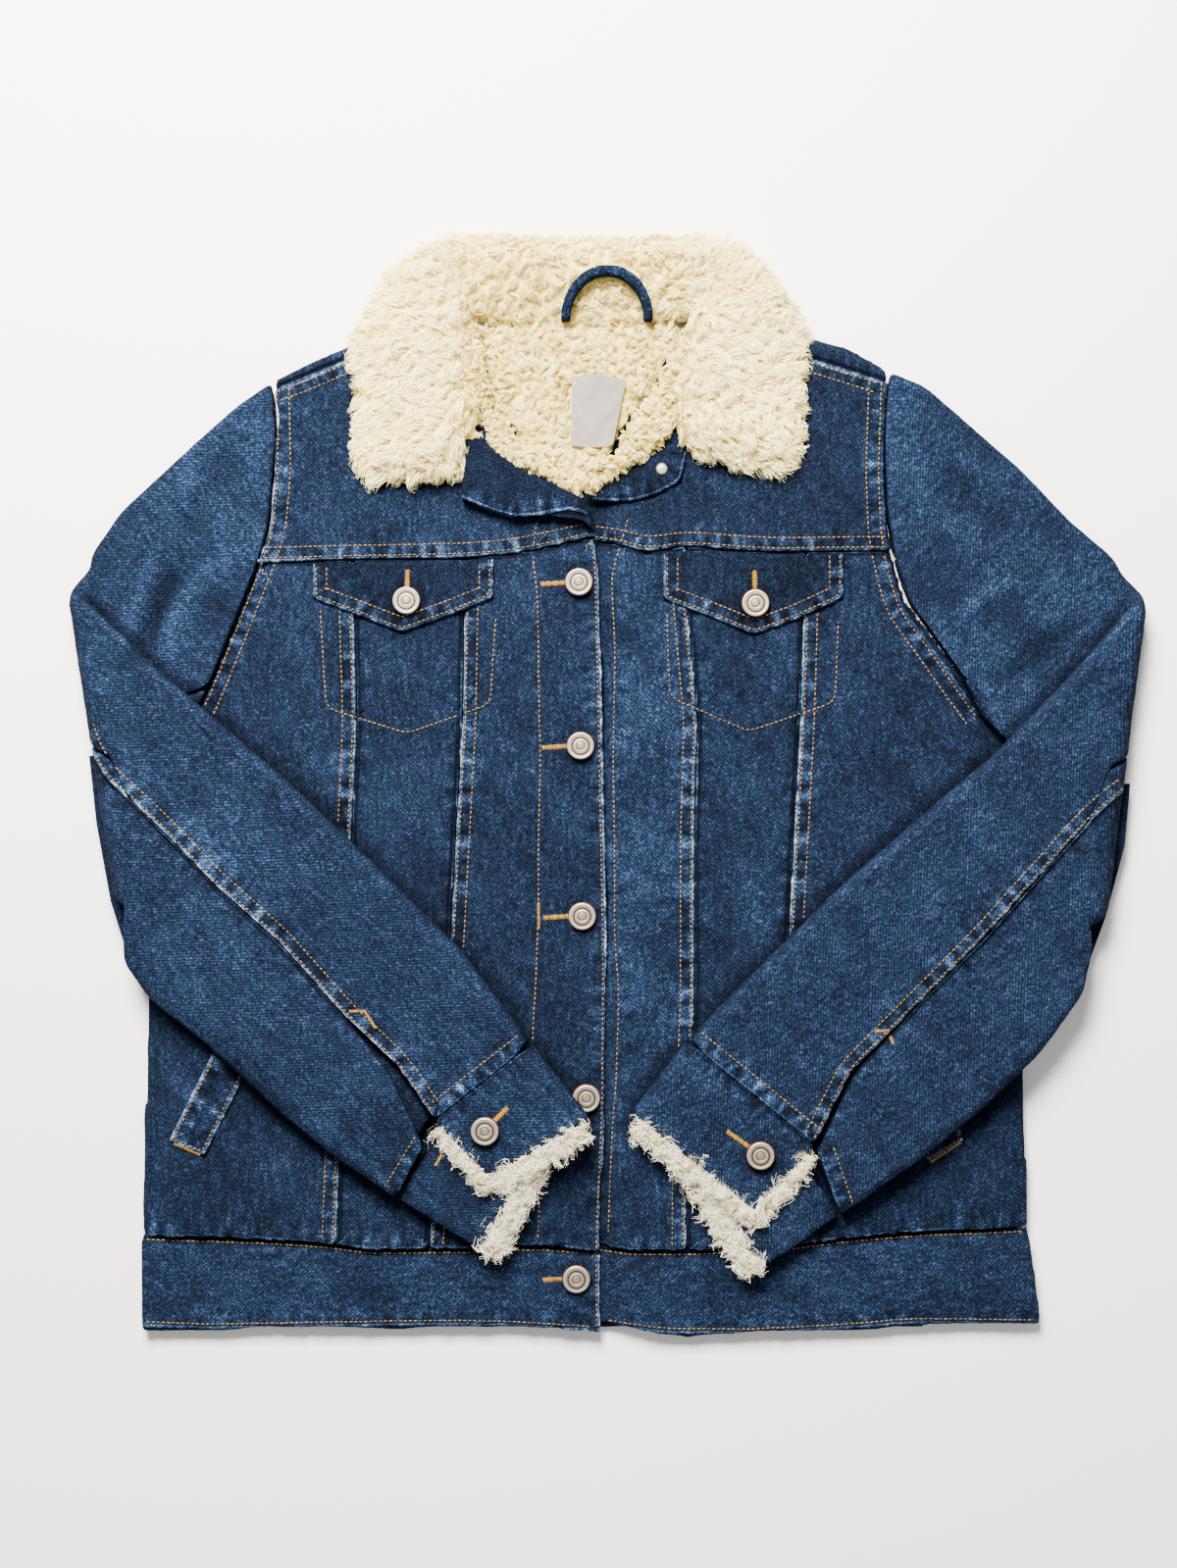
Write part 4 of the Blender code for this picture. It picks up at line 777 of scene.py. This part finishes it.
def ground(node, voxel, sink, kind):
    """The knitted ground under the pile: the node's shape, sunk a little and lumpy."""
    mesh = remade(node, voxel)
    points, normals = coordinates(mesh) / MM, normals_of(mesh)
    lumps = waves(points + points[:, 2:] * [0.7, 0.4, 0], 7.0, SEED + 20, 2)
    up = np.clip(normals[:, 2] + 0.3, 0, 1)
    moved = points + normals * ((1.1 * lumps - sink) * up)[:, None]
    moved[:, 2] = np.maximum(moved[:, 2], 0)
    if node == "lining_front_r":
        moved[inside(moved, LAPEL_R), 2] = np.minimum(moved[inside(moved, LAPEL_R), 2], 17)
    put_coordinates(mesh, moved * MM)
    # The ground takes the dark root end of the pile's colours, paler on its lumps: painted shade between the locks.
    attribute(mesh, "strand", np.stack([0.12 + 0.12 * lumps, 0 * lumps, 0 * lumps], axis=1))
    return piece_from(f"sherpa_{node}", mesh, SHERPA[kind], "sherpa", node)


def outward_from(x, y, noise_share=0.5, seed=31):
    """A combing direction: away from a point, with a wandering turn."""
    def comb(places):
        way = places - [x, y, 0]
        way[:, 2] = 0
        way /= np.linalg.norm(way, axis=1)[:, None] + 1e-9
        turn = noise_share * math.pi * waves(places, 60.0, seed)
        spun = np.stack([way[:, 0] * np.cos(turn) - way[:, 1] * np.sin(turn),
                         way[:, 0] * np.sin(turn) + way[:, 1] * np.cos(turn), way[:, 2] - 0.1], axis=1)
        return spun
    return comb


def anywhere(places):
    angle = random.uniform(0, math.tau, len(places))
    return np.stack([np.cos(angle), np.sin(angle), 0 * angle], axis=1)


GROUNDS = {node: ground(node, 3.0, 1.6, kind) for node, kind in
           (("collar", "collar"), ("lining_back", "lining"), ("lining_front_r", "lining"),
            ("lining_front_l", "lining"))}
LABEL_LOW, LABEL_HIGH = (np.array(corner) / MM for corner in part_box("label"))


def off_label(middle, facing):
    """Where pile grows on the back lining: its upper side, but not under the label."""
    under = ((middle > LABEL_LOW - 1) & (middle < LABEL_HIGH + 1))[:, :2].all(axis=1)
    return (facing[:, 2] > -0.9) & ~under


LEAF_R, LEAF_L = -87, 45  # the leaves' inner folds; the collar's back lies between them


def on_leaves(middle, facing):
    return (facing[:, 2] > -0.15) & ((middle[:, 0] < LEAF_R) | (middle[:, 0] > LEAF_L))


def on_back(middle, facing):
    return (facing[:, 2] > -0.9) & (middle[:, 0] > LEAF_R - 2) & (middle[:, 0] < LEAF_L + 2)


FUR = {"collar": [pile(f"pile_collar_{layer}", GROUNDS["collar"].data, "collar", 15000, 6.0, 3.8, 0.8,
                       outward_from(-20, 300, 0.3), on_leaves, width=0.3, gather=0.5, clump_share=26)
                  for layer in (1, 2)]}
# The collar's back, between the leaves, takes the lining's darker pile as painted shade where it lies low between the
# raised leaves.
FUR["collar"].append(pile("pile_collar_back", GROUNDS["collar"].data, "lining", 14000, 4.2, 2.8, 1.2, anywhere,
                          on_back, width=0.3, gather=0.6, clump_share=26))
FUR["lining_back"] = [pile("pile_lining_back", GROUNDS["lining_back"].data, "lining", 14000, 4.2, 2.6, 1.3,
                           anywhere, off_label, width=0.3, gather=0.6, clump_share=24)]
for side in ("r", "l"):
    FUR[f"lining_front_{side}"] = [pile(f"pile_lining_front_{side}", GROUNDS[f"lining_front_{side}"].data, "lining",
                                        7000, 3.0, 2.4, 1.0, anywhere, width=0.3,
                                        gather=0.6, clump_share=22,
                                        keep=lambda middle, facing: (facing[:, 2] > -0.7)
                                        & ~inside(middle, LAPEL_R))]


def satin():
    """Woven satin of the label: fine crosswise ribs, a soft sheen, and nothing printed on it."""
    material, tree, shader = new_material("woven_satin_label", Roughness=0.55, Sheen_Weight=0.1)
    place = add(tree, "ShaderNodeVectorMath", {0: add(tree, "ShaderNodeTexCoord").outputs["Object"],
                                               1: (1000, 1000, 1000)}, operation="MULTIPLY").outputs["Vector"]
    ribs = add(tree, "ShaderNodeTexWave", {"Vector": place, "Scale": 0.35, "Distortion": 0.4},
               bands_direction="Y").outputs["Fac"]
    clouds = noise(tree, place, 9.0, 2.0)
    level = total_of(tree, product(tree, ribs, 0.3), product(tree, clouds, 0.7))
    tree.links.new(ramp(tree, level, ((0.2, "#625C57"), (0.8, "#79726C"))), shader.inputs["Base Color"])
    bump = add(tree, "ShaderNodeBump", {"Height": ribs, "Distance": 0.1 * MM, "Strength": 0.5})
    tree.links.new(bump.outputs["Normal"], shader.inputs["Normal"])
    return material


def label_piece():
    """The label, lifted a little where the pile under it swells."""
    mesh = divided("label", 2.0, rounds=6, rounding=2)
    points = coordinates(mesh)
    points[:, 2] += 0.4 * MM * (1 + waves(points / MM, 26.0, SEED + 40))
    put_coordinates(mesh, points)
    return piece_from("satin_label", mesh, satin(), "label", "label")


LABEL = label_piece()

# Raw sherpa edges of the cuffs, which stand out from under the denim and curl.
CUFF_MIDDLES = {"r": (-95, -205), "l": (105, -205)}
for node in ("cuff_fringe_r", "cuff_fringe_l", "cuff_fringe_low_r", "cuff_fringe_low_l"):
    x, y = CUFF_MIDDLES[node[-1]]
    GROUNDS[node] = ground(node, 1.3, 1.4, "edge")
    FUR[node] = [pile(f"pile_{node}", GROUNDS[node].data, "edge", 2600, 6.0, 1.6, 3.0, outward_from(x, y, 0.3),
                      width=0.3, gather=0.3, clump_share=6, keep=lambda middle, facing: facing[:, 2] > -0.6)]

# Thread -----------------------------------------------------------------------------------------------------

# Polyester topstitch thread, faded by the wash from gold to tan, in stitches of 2.4 mm. The real thread is 0.6 mm
# thick and is drawn at 0.95 mm, so that it shows.
STITCH, PITCH, THREAD = 2.4, 3.0, 0.95


def thread(name, dull, bright):
    material, tree, shader = new_material(name, Roughness=0.6, Sheen_Weight=0.1)
    shader.inputs["Specular IOR Level"].default_value = 0.3
    tone = add(tree, "ShaderNodeAttribute", attribute_name="strand").outputs["Vector"]
    level = add(tree, "ShaderNodeSeparateXYZ", {"Vector": tone}).outputs["Y"]
    tree.links.new(ramp(tree, level, ((0.0, dull), (1.0, bright))), shader.inputs["Base Color"])
    return material


TAN_THREAD = thread("tan_topstitch_thread", "#43361C", "#846530")
GOLD_THREAD = thread("gold_buttonhole_thread", "#6B4C0C", "#A87A14")


def stitch_shape():
    shape = bmesh.new()
    bmesh.ops.create_icosphere(shape, subdivisions=1, radius=1)
    shape.verts.ensure_lookup_table()
    points = np.array([tuple(vertex.co) for vertex in shape.verts])
    faces = np.array([[vertex.index for vertex in face.verts] for face in shape.faces])
    shape.free()
    return points, faces


STITCH_POINTS, STITCH_FACES = stitch_shape()


def surface(trees, x, y):
    """Height of the topmost of these skins at a place, or None, in mm."""
    best = None
    for item in trees:
        hit = item.ray_cast(Vector((x, y, 60)) * MM, Vector((0, 0, -1)))
        if hit[0] is not None and (best is None or hit[0].z / MM > best):
            best = hit[0].z / MM
    return best


SKIN_TREES = {name: tree_of([item]) for name, item in SKINS.items()}
ALL_TREES = list(SKIN_TREES.values())


def stitches(name, marks, material, thick=THREAD):
    """Thread from a list of stitches, each from one end to the other in mm."""
    marks = np.array(marks)
    first, second = marks[:, 0], marks[:, 1]
    along = (second - first) / 2
    half = np.linalg.norm(along, axis=1)[:, None]
    along = along / half
    sideways = np.cross([0, 0, 1], along)
    sideways /= np.linalg.norm(sideways, axis=1)[:, None]
    upward = np.cross(along, sideways)
    local = STITCH_POINTS * [1, thick / 2, thick / 2.4]
    points = ((first + second) / 2)[:, None] + (
        along[:, None] * (local[None, :, :1] * (half[:, None] + 0.1)) + sideways[:, None] * local[None, :, 1:2]
        + upward[:, None] * local[None, :, 2:])
    mesh = repeated(points * MM, STITCH_FACES, name)
    tones = np.repeat(random.random(len(marks)), len(STITCH_POINTS))
    attribute(mesh, "strand", np.stack([0 * tones, tones, 0 * tones], axis=1))
    return piece_from(name, mesh, material, "denim")


def row(line, offset, trees, pitch=PITCH, length=STITCH, lowest=-1.0):
    """One row of stitches beside a line: offset to its left, on the skins."""
    points, _ = resampled(line, 1.0)
    if len(points) < 4:
        return []
    run = np.gradient(points, axis=0)
    run /= np.hypot(*run.T)[:, None]
    points = points + np.stack([-run[:, 1], run[:, 0]], axis=1) * offset
    # An offset row has its own length, and loops in tight corners are dropped.
    ahead = (np.diff(points, axis=0) * run[:-1]).sum(axis=1) > 0.2
    points = points[np.concatenate([[True], ahead])]
    spans = np.concatenate([[0], np.cumsum(np.hypot(*np.diff(points, axis=0).T))])
    found = []
    for start in np.arange(0.4, spans[-1] - length, pitch):
        ends = []
        for mark in (start, start + length * random.uniform(0.9, 1.08)):
            x, y = (np.interp(mark, spans, points[:, axis]) for axis in (0, 1))
            z = surface(trees, x, y)
            if z is None or z < lowest or surface(ALL_TREES, x, y) > z + 1.5:
                break
            ends.append((x, y, z + 0.3))
        if len(ends) == 2 and abs(ends[0][2] - ends[1][2]) < 1.6:
            found.append(ends)
    return found


seam_marks = []
for name, seam in SEAMS.items():
    trees = [SKIN_TREES[node] for node in seam.nodes]
    for offset in seam.rows:
        seam_marks += row(seam.line, offset * seam.side, trees)
stitches("topstitching", seam_marks, TAN_THREAD)

# Buttonholes and bar tacks: dense stitches across a line.
def button_middle(node):
    low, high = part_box(node)
    return (low[0] + high[0]) / 2 / MM, (low[1] + high[1]) / 2 / MM, low[2] / MM, high[2] / MM


def dense(first, second, trees, half=1.1, pitch=0.55):
    """Zigzag stitches across the line between two places."""
    first, second = np.array(first, float), np.array(second, float)
    length = np.hypot(*(second - first))
    run = (second - first) / length
    side = np.array([-run[1], run[0]])
    found = []
    for mark in np.arange(0, length, pitch):
        place = first + run * mark
        reach = half * random.uniform(0.75, 1.15)
        ends = [place - side * reach + run * 0.2, place + side * reach - run * 0.2]
        heights = [surface(trees, *end) for end in ends]
        if None not in heights:
            found.append([(*end, height + 0.25) for end, height in zip(ends, heights)])
    return found


hole_marks = []
for number in (1, 2, 3, 5):
    x, y, _, _ = button_middle(f"button_front_{number}")
    far = 24 if number != 5 else 21
    hole_marks += dense((x - far + 1, y - 1.2), (x - 8.5, y - 0.2), ALL_TREES, 1.8)
for node, (dx, dy) in (("button_flap_r", (0.5, 19)), ("button_flap_l", (-0.5, 20)), ("button_cuff_r", (13.5, 13.5)),
                       ("button_cuff_l", (-20, 14))):
    x, y, _, _ = button_middle(node)
    reach = math.hypot(dx, dy)
    hole_marks += dense((x + dx * 8.6 / reach, y + dy * 8.6 / reach), (x + dx, y + dy), ALL_TREES, 1.8)
BAR_TACKS = (
    ((-41.5, -69), (-41.5, -85)), ((-262, -215), (-246, -222)), ((196, -226), (214, -214)),
    ((-153.8, -133), (-145, -133)), ((-145, -133), (-138.6, -143)), ((160, -144.7), (169.4, -144.7)),
    ((167.6, -144.7), (170.6, -152.3)), ((-103, -226), (-99, -219)),
)
for first, second in BAR_TACKS:
    hole_marks += dense(first, second, ALL_TREES, 1.0, 0.5)
stitches("buttonhole_stitching", hole_marks, GOLD_THREAD, 0.55)

# Buttons ----------------------------------------------------------------------------------------------------

# Stamped steel jeans buttons in worn antique nickel: the plating has rubbed to copper at the rim, and the ring and
# the beads round the middle catch the light.
BUTTON_TONES = ((0.0, "#1F1A15"), (0.3, "#5E554A"), (0.6, "#968B7C"), (0.85, "#B5AB9B"), (1.0, "#8A4F36"))
BEADS, BEAD = 20, 0.065  # dark beads in its ring, and their size as a share of its radius
# Radius and height as shares of the button's own, and tone, from the middle out.
BUTTON_PROFILE = (
    (0.0, 0.95, 0.5), (0.12, 0.95, 0.5), (0.26, 0.95, 0.45), (0.29, 0.91, 0.12), (0.33, 0.91, 0.15), (0.36, 0.98, 0.8),
    (0.41, 0.98, 0.8), (0.44, 0.93, 0.3), (0.48, 0.92, 0.75), (0.6, 0.92, 0.8), (0.73, 0.92, 0.75), (0.77, 0.92, 0.3),
    (0.81, 0.97, 0.8), (0.88, 0.98, 0.85), (0.94, 0.9, 0.9), (0.985, 0.7, 1.0), (1.0, 0.45, 1.0), (0.96, 0.2, 0.9),
    (0.7, 0.05, 0.1), (0.0, 0.05, 0.0),
)


def nickel():
    material, tree, shader = new_material("worn_antique_nickel", Metallic=0.8, Roughness=0.5)
    tone = add(tree, "ShaderNodeSeparateXYZ", {
        "Vector": add(tree, "ShaderNodeAttribute", attribute_name="strand").outputs["Vector"]}).outputs["Y"]
    place = add(tree, "ShaderNodeVectorMath", {0: add(tree, "ShaderNodeTexCoord").outputs["Object"],
                                               1: (1000, 1000, 1000)}, operation="MULTIPLY").outputs["Vector"]
    scuffs = noise(tree, place, 0.8, 3.0, 0.6)
    level = total_of(tree, tone, maths(tree, "MULTIPLY_ADD", scuffs, 0.24, -0.12))
    tree.links.new(ramp(tree, level, BUTTON_TONES), shader.inputs["Base Color"])
    return material


NICKEL = nickel()


def button(node):
    """A pressed button turned from its profile, with a ring of beads."""
    x, y, low, high = button_middle(node)
    box_low, box_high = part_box(node)
    radius = (box_high[0] - box_low[0]) / 2 / MM
    shape = bmesh.new()
    rim = [shape.verts.new((share * radius, 0, low + (high - low) * height)) for share, height, _ in BUTTON_PROFILE]
    edges = [shape.edges.new(pair) for pair in zip(rim, rim[1:])]
    bmesh.ops.spin(shape, geom=rim + edges, cent=(0, 0, 0), axis=(0, 0, 1), angle=math.tau, steps=40, use_merge=True)
    bmesh.ops.remove_doubles(shape, verts=shape.verts, dist=0.001)
    for number in range(BEADS):
        turn = math.tau * number / BEADS
        place = Matrix.Translation((0.61 * radius * math.cos(turn), 0.61 * radius * math.sin(turn),
                                    low + (high - low) * 0.915))
        bmesh.ops.create_icosphere(shape, subdivisions=1, radius=BEAD * radius, matrix=place)
    bmesh.ops.recalc_face_normals(shape, faces=shape.faces)
    for face in shape.faces:
        face.smooth = True
    bmesh.ops.translate(shape, verts=shape.verts, vec=(x, y, 0))
    bmesh.ops.scale(shape, verts=shape.verts, vec=(MM, MM, MM))
    mesh = bpy.data.meshes.new(node)
    shape.to_mesh(mesh)
    shape.free()
    points = coordinates(mesh) / MM
    shares = np.hypot(points[:, 0] - x, points[:, 1] - y) / radius
    order = sorted(BUTTON_PROFILE[:17])
    tones = np.interp(shares, [item[0] for item in order], [item[2] for item in order])
    tones[(points[:, 2] > low + (high - low) * 0.9) & (np.abs(shares - 0.61) < 0.09)] = 0.0
    attribute(mesh, "strand", np.stack([0 * tones, tones, 0 * tones], axis=1))
    return piece_from(f"pressed_{node}", mesh, NICKEL, "button_metal", node)


for node in NODES:
    if node.startswith("button_") and node != "button_tack":
        button(node)


def rivet_steel():
    """Drawn steel, rubbed bright on its high spots and dull in its fine scratches."""
    material, tree, shader = new_material("bright_steel_rivet", Metallic=0.8, Roughness=0.4)
    place = add(tree, "ShaderNodeVectorMath", {0: add(tree, "ShaderNodeTexCoord").outputs["Object"],
                                               1: (1000, 1000, 1000)}, operation="MULTIPLY").outputs["Vector"]
    rubbed = noise(tree, place, 0.8, 3.0)
    tree.links.new(ramp(tree, rubbed, ((0.3, "#857E74"), (0.7, "#BBB4A8"))), shader.inputs["Base Color"])
    bump = add(tree, "ShaderNodeBump", {"Height": rubbed, "Distance": 0.05 * MM, "Strength": 0.6})
    tree.links.new(bump.outputs["Normal"], shader.inputs["Normal"])
    return material


NODES["button_tack"].material_slots[0].material = rivet_steel()

# Cloth sizes, worked out and not kept ------------------------------------------------------------------------


def declare(node, piece):
    """Works out what a piece was cut to, half its closed surface in the rectangle that its sides give, and keeps none
    of it.
    """
    area = sum(face.area for face in piece.data.polygons) / 2
    low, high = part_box(node)
    width, length = sorted((high[0] - low[0], high[1] - low[1]))
    length = max(length, area / width * 1.02)
    if area < 0.4 * width * length:  # a strip that lies slantwise or bent
        width = area / length * 1.05


for node, piece in SKINS.items():
    fringes = []
    if node.startswith("cuff"):
        for fringe in (f"cuff_fringe_{node[-1]}", f"cuff_fringe_low_{node[-1]}"):
            fringes += [GROUNDS[fringe], *FUR[fringe]]
    declare(node, piece)
for node in ("collar", "lining_back", "lining_front_r", "lining_front_l"):
    declare(node, GROUNDS[node])
declare("label", LABEL)
for piece in BEDS.values():
    (x0, y0), (x1, y1) = (corner(coordinates(piece.data)[:, :2], axis=0) for corner in (np.min, np.max))

# Stage ------------------------------------------------------------------------------------------------------

CAMERA_PLACE, CAMERA_LENS = (-0.0113, 0.0028, 1.2), 45


def set_stage():
    camera = bpy.data.objects.new("camera", bpy.data.cameras.new("camera"))
    camera.data.lens = CAMERA_LENS
    camera.location = CAMERA_PLACE
    bpy.context.scene.collection.objects.link(camera)
    bpy.context.scene.camera = camera

    bpy.ops.mesh.primitive_plane_add(size=6)
    floor = bpy.context.object
    floor.name = "floor"
    material, tree, shader = new_material("matt_paper_floor", Roughness=0.95)
    shader.inputs["Base Color"].default_value = colour("#F4F1EC")
    floor.data.materials.append(material)

    # Window light from above the collar, and a weaker fill from the hem.
    for name, place, size, power, tint in (
        ("window_light", (-0.28, 1.0, 1.1), 0.6, 182, "#FFFAF2"),
        ("room_light", (0.2, -1.2, 1.8), 1.8, 8, "#F4F7FF"),
    ):
        light = bpy.data.lights.new(name, "AREA")
        light.size, light.energy, light.color = size, power, colour(tint)[:3]
        lamp = bpy.data.objects.new(name, light)
        lamp.location = place
        lamp.rotation_euler = (Vector((0, 0, 0)) - Vector(place)).to_track_quat("-Z", "Y").to_euler()
        bpy.context.scene.collection.objects.link(lamp)
    world = bpy.data.worlds.new("soft_daylight")
    world.use_nodes = True
    world.node_tree.nodes["Background"].inputs["Color"].default_value = colour("#F6F6F8")
    world.node_tree.nodes["Background"].inputs["Strength"].default_value = 0.5
    bpy.context.scene.world = world


set_stage()
